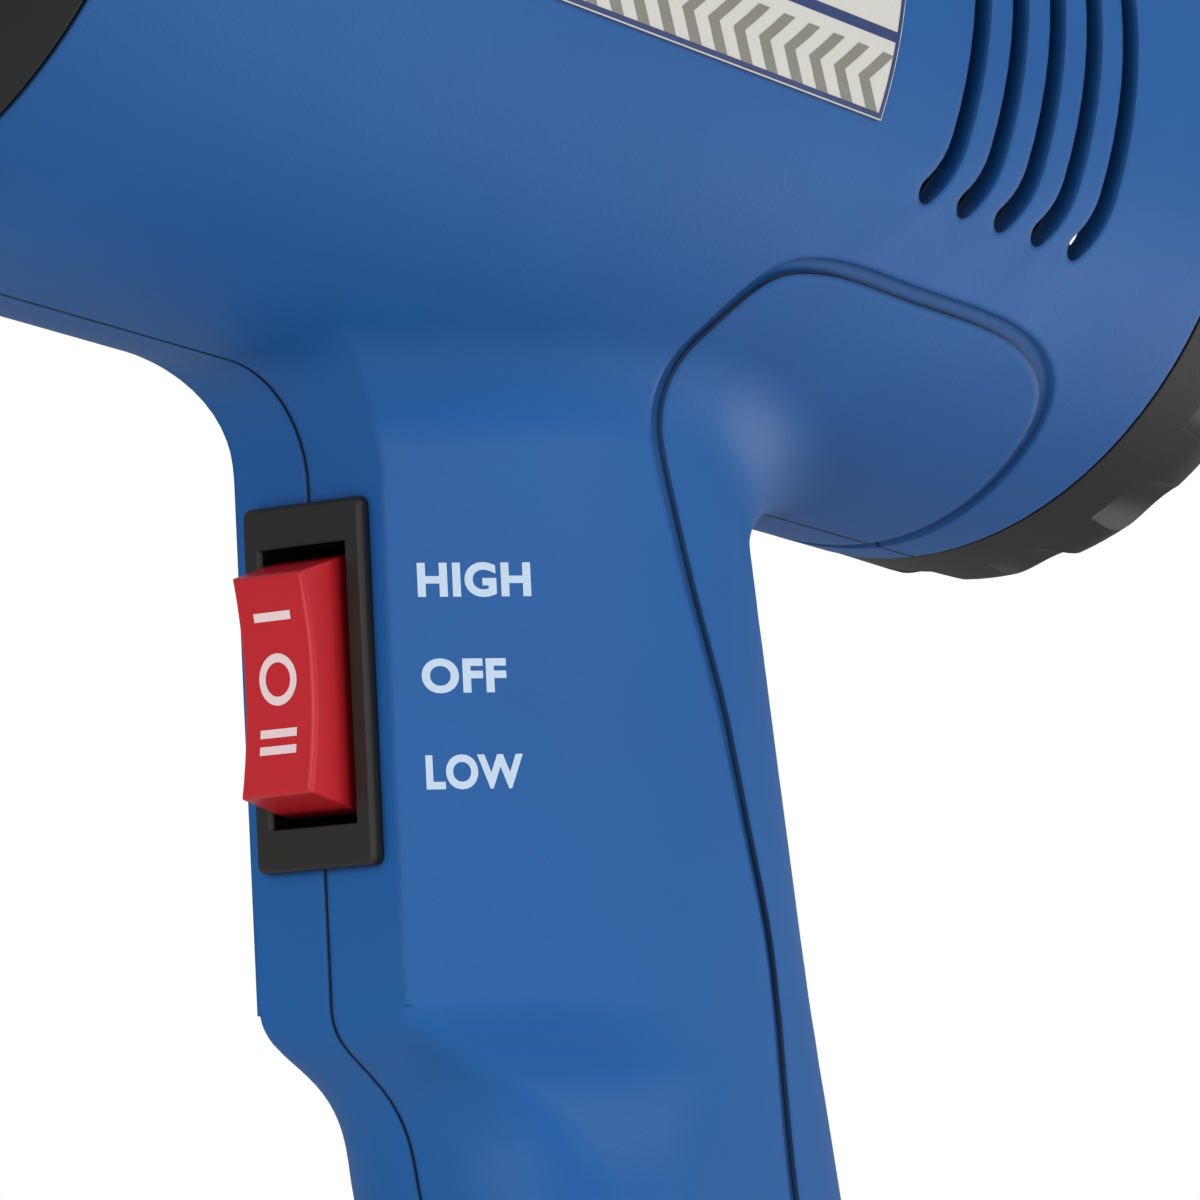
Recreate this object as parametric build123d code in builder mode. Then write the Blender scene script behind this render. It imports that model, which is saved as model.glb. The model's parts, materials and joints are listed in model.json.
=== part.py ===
from build123d import *
from math import cos, radians, sin, tan
import os

# Pistol heat gun.  Frame: the origin is the centre of the nozzle's mouth, the barrel's axis is X and the
# nozzle points to -X.  +Z is up, the handle hangs towards -Z, and -Y is the user's left.  Millimetres.

# ---------------------------------------------------------------- driving dimensions
# Barrel
NOZZLE_OUT = 50.0            # steel nozzle ahead of the collar
COLLAR_LEN = 36.0            # black collar ahead of the housing
BARREL_LEN = 136.6           # blue housing, seam to seam
CAP_LEN = 16.0               # rear cap behind the housing
FRONT_R = 39.0               # housing radius at the collar seam
REAR_R = 36.5                # housing radius at the rear cap seam
WALL = 2.6                   # moulded wall of the housing
SEAM = 0.4                   # shadow gap at both barrel seams
FIT = 0.15                   # clearance between pieces that locate each other

# Handle.  Distances "down" run down the switch panel from its centre, and "back" is behind its plane.
PANEL_BACK = 61.0            # switch centre behind the collar seam
PANEL_DROP = 63.5            # switch centre below the barrel's axis
PANEL_LEAN = 10.0            # switch panel's lean from vertical, degrees
GRIP_LEAN = 18.5             # lean of the grip's front line, degrees
BACK_LEAN = 19.6             # lean of its back line, degrees
GRIP_FRONT = 3.34            # grip's front line behind the panel's plane, level with the switch centre
HANDLE_DEPTH = 48.7          # back line behind the panel's plane, level with the switch centre
GRIP_HALF_W = 17.0           # half of the handle's width
BACK_ROUND = 20.0            # depth of the rounded back
HANDLE_END = 87.0            # handle's bottom below the switch centre
HANDLE_END_R = 2.5
ROOT_R = 10.5                # fillet where the handle meets the barrel
PAD_HALF_W = 8.8             # flat front of the switch pad, half width
PAD_FLARE = 21.0             # how fast the pad's sides open, degrees
PAD_CREST_R = 45.0           # round that turns the pad's sides into the handle's
PAD_CORNER_R = 1.2           # corners of the flat front, where the hollow under it starts
PAD_ABOVE = 60.0             # pad's reach above the switch centre, inside the barrel
PAD_BELOW = 27.4             # where the hollow for the index finger starts
KNUCKLE = 44.0               # where that hollow runs out into the grip

# Grooves and vents
GROOVE_W = 0.36              # parting line between the housing halves
WEB_W = 1.3                  # groove round the web-of-hand area
GROOVE_DEPTH = 0.55
SLOT_COUNT = 5
SLOT_W = 2.3
SLOT_PITCH = 5.2
SLOT_FIRST = 98.3            # first slot behind the collar seam
SLOT_REACH = 15.7            # slots' end centres below and above the axis
SLOT_HOOK = 1.7              # forward hook at each slot's end
SLOT_HOOK_AT = 11.0          # where the hook starts, below and above the axis

# Label
LABEL_T = 0.2
LABEL_START = 14.0           # behind the collar seam
LABEL_END = 87.6
LABEL_LOW = -18.6            # lower and upper edges, degrees from the horizontal
LABEL_HIGH = 33.0

# Joints between the barrel pieces
SPIGOT_LEN = 8.0             # reach of the collar and the cap inside the housing
SPIGOT_T = 4.2
RIB_T = 2.0                  # ribs that stand in the spigots' grooves
RIB_INSET = 4.0              # rib's near face behind the seam
RIB_H = 2.0

# Collar
COLLAR_WALL = 2.6
COLLAR_NOSE_R = 26.0
COLLAR_SLOTS = 12
COLLAR_SLOT_W = 3.0
COLLAR_SLOT_LEN = 16.0

# Nozzle and heater
NOZZLE_R = 17.5
NOZZLE_REAR_R = 17.2         # the tube steps down behind its push-on length
NOZZLE_FREE = 46.0           # push-on length
NOZZLE_WALL = 0.8
NOZZLE_LIP_R = 15.6
NOZZLE_IN = 26.0             # nozzle tube's reach behind the collar seam
NOZZLE_GAP = 1.2             # air gap between the nozzle and the collar
FLANGE_T = 1.2
FLANGE_VENTS = 8
FLANGE_VENT_R = 2.5
MICA_START = 20.0
MICA_R = 15.8
MICA_T = 0.8
FORMER_HALF_W = 12.6
FORMER_T = 1.2
COIL_R = 13.2
COIL_WIRE_R = 0.45
COIL_PITCH = 6.0
BASE_T = 6.0
BASE_HOLES = 6
BASE_HOLE_R = 3.0
CUTOFF_R = 2.0
CUTOFF_LEN = 10.0
CUTOFF_GAP = 4.0             # ahead of the ceramic base
CUTOFF_OUT = 5.0             # off the axis, both ways

# Fan and motor
SHROUD_FRONT = 54.0          # fan shroud's front face behind the collar seam
SHROUD_LEN = 27.0
SHROUD_R = 33.0
SHROUD_WALL = 1.8
SHROUD_LIP = 1.4
GUIDE_WALL = 1.2
MOTOR_PLATE_T = 3.0
PLATE_VENTS = 6              # air openings in the plate that carries the motor
PLATE_VENT_PCR = 23.0
PLATE_VENT_R = 7.0
FAN_R = 29.8
FAN_LEN = 15.0
FAN_HUB_R = 9.0
FAN_BLADES = 9
FAN_TWIST = 35.0
BLADE_T = 1.4
MOTOR_R = 18.0
MOTOR_WALL = 1.2
MOTOR_LEN = 46.0
MOTOR_BOSS_R = 6.0
MOTOR_BOSS_LEN = 4.0
BUSH_R = 3.5
BUSH_LEN = 5.0
SHAFT_R = 1.6
RUNNING = 0.03               # radial running clearance of the shaft
ARMATURE_R = 11.3
ARMATURE_LEN = 24.0
ARMATURE_SLOTS = 5
WINDING_R = 9.0
WINDING_LEN = 4.4
MAGNET_T = 4.6
MAGNET_ARC = 120.0
COMMUTATOR_R = 4.2
COMMUTATOR_LEN = 7.0
BRUSH_W = 4.0
BRUSH_LEN = 7.6
BELL_T = 2.5
BELL_PLUG = 7.2
BOARD_R = 14.0
BOARD_T = 1.6
BOARD_GAP = 3.5
DIODE_R = 1.3
DIODE_LEN = 5.0
MOTOR_SCREW_PCD = 22.0
MOTOR_SCREW_R = 1.45
MOTOR_SCREW_HEAD_R = 2.6
MOTOR_SCREW_HEAD_H = 1.6

# Rear cap
CAP_CORNER = 6.5
CAP_FLUTES = 18
FLUTE_R = 5.0
FLUTE_DEPTH = 1.3
GRILLE_T = 2.4
GRILLE_RECESS = 1.0
GRILLE_R = 26.5
GRILLE_PITCH = 5.0
GRILLE_RINGS = 4
GRILLE_SLOT_W = 2.6
GRILLE_SPOKE_W = 3.2

# Switch
BEZEL_L = 31.0
BEZEL_W = 14.0
BEZEL_T = 1.2
SWITCH_L = 27.0
SWITCH_W = 12.0
SWITCH_DEPTH = 20.0
SWITCH_HOLE_L = 23.8
SWITCH_HOLE_W = 9.8
SWITCH_HOLE_DEPTH = 10.0
ROCKER_W = 8.8
ROCKER_TOP_W = 8.2
ROCKER_TIP = 9.25            # raised ends of the rocker's face, from its middle
ROCKER_TIP_H = 4.4           # their height above the bezel's face
ROCKER_DIP = 1.0             # hollow in the middle of its face
ROCKER_BASE = 10.5           # half length at the bezel's face
ROCKER_SKIRT = 10.9          # half length inside the body
ROCKER_UNDER = 4.0           # reach below the pivot
PIVOT_DEPTH = 3.4            # rocker pivot below the panel's face
PIVOT_R = 1.2
PIVOT_OUT = 0.8
BLADE_W = 4.8
BLADE_LEN = 8.0
BLADE_PITCH = 8.0

# Cord inlet
BUSH_BORE_R = 4.1
BUSH_OUT_R = 6.0
BUSH_FLANGE_R = 8.0
BUSH_FLANGE_T = 2.4
CLAMP_UP = 20.0              # cord clamp above the handle's bottom
CLAMP_L = 25.0
CLAMP_W = 7.0
CLAMP_T = 3.4
CLAMP_PITCH = 18.0
CLAMP_POST_R = 3.2

# Leads
WIRE_R = 0.6
WIRE_BEND = 3.0
WIRE_WAY = 9.0               # gap in the barrel's ribs that the leads pass through

# Screws
BOSS_R = 3.9
SCREW_R = 1.6
SCREW_HEAD_R = 3.0
SCREW_HEAD_H = 2.2
SCREW_BITE = 9.0             # thread in the left half
SCREW_COVER = 5.0            # material left under the screw's head
RECESS_R = 3.5
DRIVE_L = 3.4                # cross recess in the screw heads
DRIVE_W = 0.9
DRIVE_DEPTH = 1.0

# ---------------------------------------------------------------- places worked out from them
x_front = NOZZLE_OUT + COLLAR_LEN
x_rear = x_front + BARREL_LEN
x_back = x_rear + CAP_LEN
x_panel = x_front + PANEL_BACK
x_nozzle_end = x_front + NOZZLE_IN
x_flange = x_front + SPIGOT_LEN + FIT
x_mica_end = x_nozzle_end - 4.0
x_base = x_mica_end - BASE_T - 1.0
x_shroud = x_front + SHROUD_FRONT
x_plate = x_shroud + SHROUD_LEN - MOTOR_PLATE_T
x_motor = x_shroud + SHROUD_LEN + FIT
x_motor_end = x_motor + MOTOR_LEN
x_shaft = x_shroud + 5.0
x_armature = x_motor + 10.0
x_commutator = x_motor_end - COMMUTATOR_LEN - 0.4
x_bell_end = x_motor_end + BELL_T
x_board = x_bell_end + BOARD_GAP

motor_in_r = MOTOR_R - MOTOR_WALL
front_spigot_r = FRONT_R - (FRONT_R - REAR_R) * SPIGOT_LEN / BARREL_LEN - WALL - FIT
rear_spigot_r = REAR_R - WALL - FIT
shroud_lip_r = SHROUD_R + SHROUD_LIP

panel_down = Vector(sin(radians(PANEL_LEAN)), 0, -cos(radians(PANEL_LEAN)))
panel_back = Vector(cos(radians(PANEL_LEAN)), 0, sin(radians(PANEL_LEAN)))
panel_centre = Vector(x_panel, 0, -PANEL_DROP)

# Panel plane: its normal points out of the handle, its local Y runs up the panel.
panel = Plane(origin=panel_centre, x_dir=(0, -1, 0), z_dir=-panel_back)


def barrel_r(x):
    """Outer radius of the tapered housing at x."""
    return FRONT_R + (REAR_R - FRONT_R) * (x - x_front) / BARREL_LEN


def radial_plane(x, radius, angle):
    """Plane at x, standing on a radius at an angle from +Y towards +Z, with its local X along the barrel."""
    out = Vector(0, cos(radians(angle)), sin(radians(angle)))
    return Plane(origin=Vector(x, 0, 0) + out * radius, x_dir=(1, 0, 0), z_dir=out)


def handle_point(down, back):
    """Point on the handle's middle plane, from the switch centre."""
    return panel_centre + panel_down * down + panel_back * back


def front_line(down):
    """How far the grip's front line is behind the panel's plane."""
    return GRIP_FRONT + down * tan(radians(GRIP_LEAN - PANEL_LEAN))


def back_line(down):
    """How far the handle's back line is behind the panel's plane."""
    return HANDLE_DEPTH + down * tan(radians(BACK_LEAN - PANEL_LEAN))


# ---------------------------------------------------------------- housing form
# Handle sections: distance down, front, half width of the flat front, its corners' radius, crest radius,
# half width and how far the back swells past the back line.
PAD_TOP = (-PAD_ABOVE, 0.0, PAD_HALF_W, 0.0, PAD_CREST_R, GRIP_HALF_W, 0.0)
PAD_FOOT = (PAD_BELOW, 0.0, PAD_HALF_W, 0.0, PAD_CREST_R, GRIP_HALF_W, 0.0)
GRIP_TOP = (KNUCKLE, front_line(KNUCKLE), 11.5, 13.6, 15.0, GRIP_HALF_W, 0.0)

KNUCKLE_SECTIONS = [
    (PAD_BELOW, 0.0, PAD_HALF_W, PAD_CORNER_R, PAD_CREST_R, GRIP_HALF_W, 0.0),
    (31.0, 2.0, 8.6, 4.0, 42.0, GRIP_HALF_W, 0.0),
    (34.0, 5.6, 9.1, 7.6, 35.0, GRIP_HALF_W, 0.0),
    (37.4, 8.2, 10.3, 10.8, 25.0, GRIP_HALF_W, 0.0),
    (40.4, 9.2, 11.1, 12.6, 19.0, GRIP_HALF_W, 0.0),
    GRIP_TOP,
]

GRIP_SECTIONS = [
    GRIP_TOP,
    (58.0, front_line(58.0), 11.8, 14.6, 12.0, GRIP_HALF_W, 0.0),
    (72.0, front_line(72.0) - 0.6, 11.8, 14.5, 12.0, GRIP_HALF_W + 0.1, 0.3),
    (81.0, front_line(81.0) - 2.4, 12.0, 14.6, 12.0, GRIP_HALF_W + 0.3, 1.2),
    (HANDLE_END, front_line(HANDLE_END) - 4.4, 12.2, 14.8, 12.0, GRIP_HALF_W + 0.6, 2.4),
]


def handle_section(down, front, front_half, corner_r, crest_r, half_w, swell, inset):
    """One cross-section of the handle, square to the panel and drawn inset from its outer surface.

    From the middle: a flat front, a corner, a side that opens at the pad's flare, a crest and a rounded back.
    """
    flare = radians(PAD_FLARE)
    turn = radians(90.0 - PAD_FLARE)
    front += inset
    front_half -= inset * tan(turn / 2)
    corner_r = max(corner_r - inset, 0.3) if corner_r else 0.0
    crest_r -= inset
    half_w -= inset
    back = back_line(down) + swell - inset
    corner_y = front_half - corner_r * tan(turn / 2)
    side_y = corner_y + corner_r * sin(turn)
    side_x = front + corner_r * (1 - cos(turn))
    side_len = (half_w - side_y - crest_r * (1 - cos(flare))) / sin(flare)
    crest_x = side_x + side_len * cos(flare)
    crest_y = side_y + side_len * sin(flare)
    crest_end = crest_x + crest_r * sin(flare)
    round_x = max(crest_end + 0.4, back + inset - BACK_ROUND)
    where = Plane(origin=handle_point(down, 0.0), x_dir=panel_back, z_dir=panel_down)
    with BuildSketch(where) as section:
        with BuildLine():
            Line((front, -corner_y), (front, corner_y))
            for side in (-1, 1):
                if corner_r:
                    TangentArc((front, side * corner_y), (side_x, side * side_y), tangent=(0, side))
                Line((side_x, side * side_y), (crest_x, side * crest_y))
                TangentArc((crest_x, side * crest_y), (crest_end, side * half_w),
                           tangent=(cos(flare), side * sin(flare)))
                Line((crest_end, side * half_w), (round_x, side * half_w))
            EllipticalCenterArc((round_x, 0), back - round_x, half_w, start_angle=270, arc_size=180)
        make_face()
    return section.sketch


def gun_form(inset, rounded, overrun=0.0):
    """Barrel and handle as one solid, inset from the outer surface."""
    bottom = GRIP_SECTIONS[-1]
    grip = [handle_section(*shape, inset) for shape in GRIP_SECTIONS[:-1]]
    grip.append(handle_section(bottom[0] - inset, *bottom[1:], inset))
    with BuildPart() as form:
        loft([handle_section(*shape, inset) for shape in (PAD_TOP, PAD_FOOT)])
        with BuildSketch(Plane.XZ):
            with BuildLine():
                Polyline((x_front - overrun, 0), (x_front - overrun, barrel_r(x_front) - inset),
                         (x_rear + overrun, barrel_r(x_rear) - inset), (x_rear + overrun, 0), close=True)
            make_face()
        revolve(axis=Axis.X)
        if rounded:
            fillet([e for e in form.edges() if on_barrel(e, inset)], ROOT_R + inset)
        loft(grip)
        loft([handle_section(*shape, inset) for shape in KNUCKLE_SECTIONS])
        if rounded:
            fillet(form.faces().sort_by(Axis((0, 0, 0), panel_down))[-1].edges(), HANDLE_END_R)
    return form.part


def on_barrel(edge, inset):
    """True for an edge that lies on the barrel's surface, below the axis and away from the seams."""
    for step in (0.05, 0.3, 0.5, 0.7, 0.95):
        p = edge @ step
        if p.Z > -5.0 or p.X < x_front + 3.0 or p.X > x_rear - 3.0:
            return False
        if abs((p.Y ** 2 + p.Z ** 2) ** 0.5 - barrel_r(p.X) + inset) > 0.5:
            return False
    return True


# ---------------------------------------------------------------- housing details
grip_middle = (front_line(HANDLE_END) + back_line(HANDLE_END)) / 2
inlet = Plane(origin=handle_point(HANDLE_END, grip_middle), x_dir=panel_back, z_dir=panel_down)
clamp_down = HANDLE_END - CLAMP_UP
clamp = handle_point(clamp_down, (front_line(clamp_down) + back_line(clamp_down)) / 2)

# Housing screws: x, z and half width of the housing there.  They enter from the right.
barrel_screw_y = (barrel_r(x_front + 24.0) ** 2 - 30.0 ** 2) ** 0.5
SCREWS = [
    (x_front + 24.0, 30.0, barrel_screw_y),
    (x_front + 24.0, -30.0, barrel_screw_y),
    (x_rear - 34.0, 29.0, barrel_screw_y),
    (x_rear - 15.0, -28.0, barrel_screw_y),
    (x_panel + 25.0, -42.0, GRIP_HALF_W),
    (handle_point(46.0, 21.0).X, handle_point(46.0, 21.0).Z, GRIP_HALF_W),
    (handle_point(75.0, 23.0).X, handle_point(75.0, 23.0).Z, GRIP_HALF_W),
    (handle_point(71.5, 53.0).X, handle_point(71.5, 53.0).Z, GRIP_HALF_W),
]

# Ribs across the barrel: x of the near face and inner radius.
RIBS = [
    (x_front + RIB_INSET, front_spigot_r - RIB_H),
    (x_flange + FLANGE_T + FIT, front_spigot_r - RIB_H),
    (x_shroud - RIB_T, SHROUD_R + FIT),
    (x_shroud + SHROUD_LIP + 1.0, SHROUD_R + FIT),
    (x_rear - RIB_INSET - RIB_T, rear_spigot_r - RIB_H),
]


def vent_slots():
    """Slots through both sides of the barrel, each hooked forward at its ends."""
    with BuildPart() as slots:
        for i in range(SLOT_COUNT):
            x = x_front + SLOT_FIRST + i * SLOT_PITCH
            with BuildSketch(Plane.XZ):
                with BuildLine():
                    Line((x, -SLOT_HOOK_AT), (x, SLOT_HOOK_AT))
                    TangentArc((x, SLOT_HOOK_AT), (x - SLOT_HOOK, SLOT_REACH), tangent=(0, 1))
                    TangentArc((x, -SLOT_HOOK_AT), (x - SLOT_HOOK, -SLOT_REACH), tangent=(0, -1))
                trace(line_width=SLOT_W)
                with Locations((x - SLOT_HOOK, -SLOT_REACH), (x - SLOT_HOOK, SLOT_REACH)):
                    Circle(SLOT_W / 2)
            extrude(amount=FRONT_R + 1, both=True)
    return slots.part


def web_outline():
    """Band, seen from the side, of the groove round the web-of-hand area."""
    with BuildPart() as band:
        with BuildSketch(Plane.XZ):
            with BuildLine():
                Spline((x_panel + 72.0, -38.5), (x_panel + 67.0, -32.2), (x_panel + 63.3, -26.8),
                       (x_panel + 60.2, -24.9), (x_panel + 50.3, -23.2), (x_panel + 39.2, -23.3),
                       (x_panel + 27.2, -23.8), (x_panel + 23.0, -25.5), (x_panel + 20.9, -30.5),
                       (x_panel + 21.4, -37.4), (x_panel + 23.9, -44.0), (x_panel + 27.7, -52.0),
                       (x_panel + 31.9, -59.9), (x_panel + 36.3, -69.8), (x_panel + 40.9, -80.1),
                       (x_panel + 43.9, -92.8), (x_panel + 46.5, -103.0), (x_panel + 52.0, -116.0),
                       (x_panel + 61.0, -125.0), (x_panel + 76.0, -127.0))
            trace(line_width=WEB_W)
        extrude(amount=FRONT_R + 1, both=True)
    return band.part


def housing_shell():
    """Hollow housing with its screw bosses, ribs, vents and openings, before it is split."""
    with BuildPart() as hollow:
        add(gun_form(WALL, rounded=False, overrun=1.0))
        for x, z, _ in SCREWS:
            with BuildSketch(Plane.XZ):
                with Locations((x, z)):
                    Circle(BOSS_R)
            extrude(amount=FRONT_R + 1, both=True, mode=Mode.SUBTRACT)
        for x, inner_r in RIBS:
            with BuildSketch(Plane.YZ.offset(x)):
                Circle(FRONT_R + 1)
                Circle(inner_r, mode=Mode.SUBTRACT)
                with Locations((0, -FRONT_R)):
                    Rectangle(WIRE_WAY, FRONT_R / 2, mode=Mode.SUBTRACT)
            extrude(amount=RIB_T, mode=Mode.SUBTRACT)

    with BuildPart() as shell:
        add(gun_form(0.0, rounded=True))
        add(hollow.part, mode=Mode.SUBTRACT)
        add(vent_slots(), mode=Mode.SUBTRACT)
        # Switch cut-out in the panel
        with BuildSketch(panel.offset(1.0)):
            Rectangle(SWITCH_W + 2 * FIT, SWITCH_L + 2 * FIT)
        extrude(amount=-(SWITCH_DEPTH + 2.0), mode=Mode.SUBTRACT)
        # Flat seat for the bezel
        with BuildSketch(panel):
            Rectangle(BEZEL_W + 2 * FIT, BEZEL_L + 2 * FIT)
        extrude(amount=2 * BEZEL_T, mode=Mode.SUBTRACT)
        # Hole for the cord inlet bush
        with BuildSketch(inlet.offset(3.0)):
            Circle(BUSH_OUT_R + FIT)
        extrude(amount=-(WALL + 6.0), mode=Mode.SUBTRACT)

    core = gun_form(GROOVE_DEPTH, rounded=True)
    with BuildPart() as grooves:
        with BuildSketch(Plane.XZ):
            with Locations(((x_front + x_rear) / 2, -60.0)):
                Rectangle(2 * BARREL_LEN, 220.0)
        extrude(amount=GROOVE_W / 2, both=True)
        add(web_outline())
        add(core, mode=Mode.SUBTRACT)

    with BuildPart() as housing:
        add(shell.part)
        add(grooves.part, mode=Mode.SUBTRACT)
    return housing.part


# ---------------------------------------------------------------- housing halves
housing = housing_shell()

with BuildPart() as housing_left:
    add(housing)
    split(bisect_by=Plane.XZ, keep=Keep.TOP)
    # Pilot holes for the housing screws
    for x, z, _ in SCREWS:
        with BuildSketch(Plane.XZ.offset(-1.0)):
            with Locations((x, z)):
                Circle(SCREW_R + FIT / 3)
        extrude(amount=SCREW_BITE + 2.0, mode=Mode.SUBTRACT)
    # Posts for the cord clamp
    for side in (-1, 1):
        post = clamp + panel_back * (side * CLAMP_PITCH / 2)
        with BuildSketch(Plane.XZ):
            with Locations((post.X, post.Z)):
                Circle(CLAMP_POST_R)
        extrude(amount=GRIP_HALF_W - WALL / 2)
        with BuildSketch(Plane.XZ.offset(-1.0)):
            with Locations((post.X, post.Z)):
                Circle(SCREW_R + FIT / 3)
        extrude(amount=SCREW_BITE + 2.0, mode=Mode.SUBTRACT)

with BuildPart() as housing_right:
    add(housing)
    split(bisect_by=Plane.XZ, keep=Keep.BOTTOM)
    # Clearance holes and head recesses for the housing screws
    for x, z, half_w in SCREWS:
        with BuildSketch(Plane.XZ.offset(1.0)):
            with Locations((x, z)):
                Circle(SCREW_R + FIT)
        extrude(amount=-(FRONT_R + 2), mode=Mode.SUBTRACT)
        with BuildSketch(Plane.XZ.offset(-(half_w - SCREW_COVER))):
            with Locations((x, z)):
                Circle(RECESS_R)
        extrude(amount=-FRONT_R, mode=Mode.SUBTRACT)

with BuildPart() as housing_screws:
    for x, z, half_w in SCREWS:
        seat = Plane.XZ.offset(-(half_w - SCREW_COVER + FIT / 3))
        with BuildSketch(seat):
            with Locations((x, z)):
                Circle(SCREW_R)
        extrude(amount=half_w - SCREW_COVER + SCREW_BITE)
        with BuildSketch(seat):
            with Locations((x, z)):
                Circle(SCREW_HEAD_R)
        extrude(amount=-SCREW_HEAD_H)
        with BuildSketch(seat.offset(-SCREW_HEAD_H)):
            with Locations((x, z)):
                Rectangle(DRIVE_L, DRIVE_W)
                Rectangle(DRIVE_W, DRIVE_L)
        extrude(amount=DRIVE_DEPTH, mode=Mode.SUBTRACT)

# ---------------------------------------------------------------- side label
with BuildPart() as side_label:
    with BuildSketch(Plane(origin=(0, 0, 0), x_dir=(1, 0, 0), z_dir=(0, 0, 1))):
        with BuildLine():
            start, end = x_front + LABEL_START, x_front + LABEL_END
            lift = FIT / 3
            Polyline((start, -barrel_r(start) - lift), (end, -barrel_r(end) - lift),
                     (end, -barrel_r(end) - lift - LABEL_T), (start, -barrel_r(start) - lift - LABEL_T),
                     close=True)
        make_face()
    revolve(axis=Axis.X, revolution_arc=LABEL_HIGH - LABEL_LOW)
side_label.part = side_label.part.rotate(Axis.X, -LABEL_HIGH)

# ---------------------------------------------------------------- collar
with BuildPart() as front_collar:
    nose_x = NOZZLE_OUT
    seam_x = x_front - SEAM
    groove_x = x_front + RIB_INSET - FIT
    mouth_r = NOZZLE_R + NOZZLE_GAP
    with BuildSketch(Plane.XZ):
        with BuildLine():
            Line((nose_x, mouth_r), (nose_x, COLLAR_NOSE_R - 2.5))
            ThreePointArc((nose_x, COLLAR_NOSE_R - 2.5), (nose_x + 0.75, COLLAR_NOSE_R - 0.7),
                          (nose_x + 2.5, COLLAR_NOSE_R))
            Spline((nose_x + 2.5, COLLAR_NOSE_R), (nose_x + 20.0, COLLAR_NOSE_R + 8.2), (seam_x, FRONT_R - 0.1),
                   tangents=[(1, 0.25), (1, 0.12)])
            Polyline((seam_x, FRONT_R - 0.1), (seam_x, front_spigot_r), (groove_x, front_spigot_r),
                     (groove_x, front_spigot_r - RIB_H - FIT),
                     (groove_x + RIB_T + 2 * FIT, front_spigot_r - RIB_H - FIT),
                     (groove_x + RIB_T + 2 * FIT, front_spigot_r),
                     (x_front + SPIGOT_LEN, front_spigot_r),
                     (x_front + SPIGOT_LEN, front_spigot_r - SPIGOT_T),
                     (x_front - 4.0, front_spigot_r - SPIGOT_T))
            Spline((x_front - 4.0, front_spigot_r - SPIGOT_T), (nose_x + 16.0, COLLAR_NOSE_R + 3.6),
                   (nose_x + COLLAR_WALL, COLLAR_NOSE_R - 1.8))
            Polyline((nose_x + COLLAR_WALL, COLLAR_NOSE_R - 1.8), (nose_x + COLLAR_WALL, mouth_r),
                     (nose_x, mouth_r))
        make_face()
    revolve(axis=Axis.X)
    for i in range(COLLAR_SLOTS):
        with BuildSketch(radial_plane(nose_x + 17.0, COLLAR_NOSE_R - 4.0, 360.0 / COLLAR_SLOTS * (i + 0.5))):
            SlotOverall(COLLAR_SLOT_LEN, COLLAR_SLOT_W)
        extrude(amount=20.0, mode=Mode.SUBTRACT)

# ---------------------------------------------------------------- rear cap
with BuildPart() as rear_cap:
    seam_x = x_rear + SEAM
    groove_x = x_rear - RIB_INSET - RIB_T - FIT
    rim_r = REAR_R - CAP_CORNER
    spigot_in_r = rear_spigot_r - SPIGOT_T
    with BuildSketch(Plane.XZ):
        with BuildLine():
            Polyline((seam_x, REAR_R - 0.1), (x_back - CAP_CORNER, REAR_R - 0.1))
            RadiusArc((x_back - CAP_CORNER, REAR_R - 0.1), (x_back, rim_r - 0.1), CAP_CORNER)
            Polyline((x_back, rim_r - 0.1), (x_back, GRILLE_R), (x_back - GRILLE_RECESS, GRILLE_R),
                     (x_back - GRILLE_RECESS, 0), (x_back - GRILLE_RECESS - GRILLE_T, 0),
                     (x_back - GRILLE_RECESS - GRILLE_T, GRILLE_R), (x_back - CAP_CORNER, spigot_in_r),
                     (x_rear - SPIGOT_LEN, spigot_in_r), (x_rear - SPIGOT_LEN, rear_spigot_r),
                     (groove_x, rear_spigot_r), (groove_x, rear_spigot_r - RIB_H - FIT),
                     (groove_x + RIB_T + 2 * FIT, rear_spigot_r - RIB_H - FIT),
                     (groove_x + RIB_T + 2 * FIT, rear_spigot_r), (seam_x, rear_spigot_r),
                     (seam_x, REAR_R - 0.1))
        make_face()
    revolve(axis=Axis.X)
    # Flutes round the rear edge
    with BuildSketch(Plane.YZ.offset(x_back - CAP_CORNER - 3.0)):
        with PolarLocations(REAR_R + FLUTE_R - FLUTE_DEPTH, CAP_FLUTES):
            Circle(FLUTE_R)
    extrude(amount=CAP_LEN, mode=Mode.SUBTRACT, taper=-8.0)
    # Grille: rings of openings crossed by spokes
    with BuildSketch(Plane.YZ.offset(x_back + 1.0)):
        for i in range(GRILLE_RINGS, 0, -1):
            Circle(i * GRILLE_PITCH + GRILLE_SLOT_W)
            Circle(i * GRILLE_PITCH, mode=Mode.SUBTRACT)
        for angle in (0, 60, 120):
            Rectangle(2 * GRILLE_R, GRILLE_SPOKE_W, rotation=angle, mode=Mode.SUBTRACT)
    extrude(amount=-(GRILLE_T + GRILLE_RECESS + 2.0), mode=Mode.SUBTRACT)

# ---------------------------------------------------------------- nozzle and heater
with BuildPart() as nozzle_tube:
    nozzle_in_r = NOZZLE_R - NOZZLE_WALL
    with BuildSketch(Plane.XZ):
        with BuildLine():
            Polyline((0, NOZZLE_LIP_R), (0, NOZZLE_R), (NOZZLE_FREE, NOZZLE_R), (NOZZLE_FREE, NOZZLE_REAR_R),
                     (x_nozzle_end, NOZZLE_REAR_R), (x_nozzle_end, nozzle_in_r), (NOZZLE_WALL, nozzle_in_r),
                     (NOZZLE_WALL, NOZZLE_LIP_R), close=True)
        make_face()
    revolve(axis=Axis.X)

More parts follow.
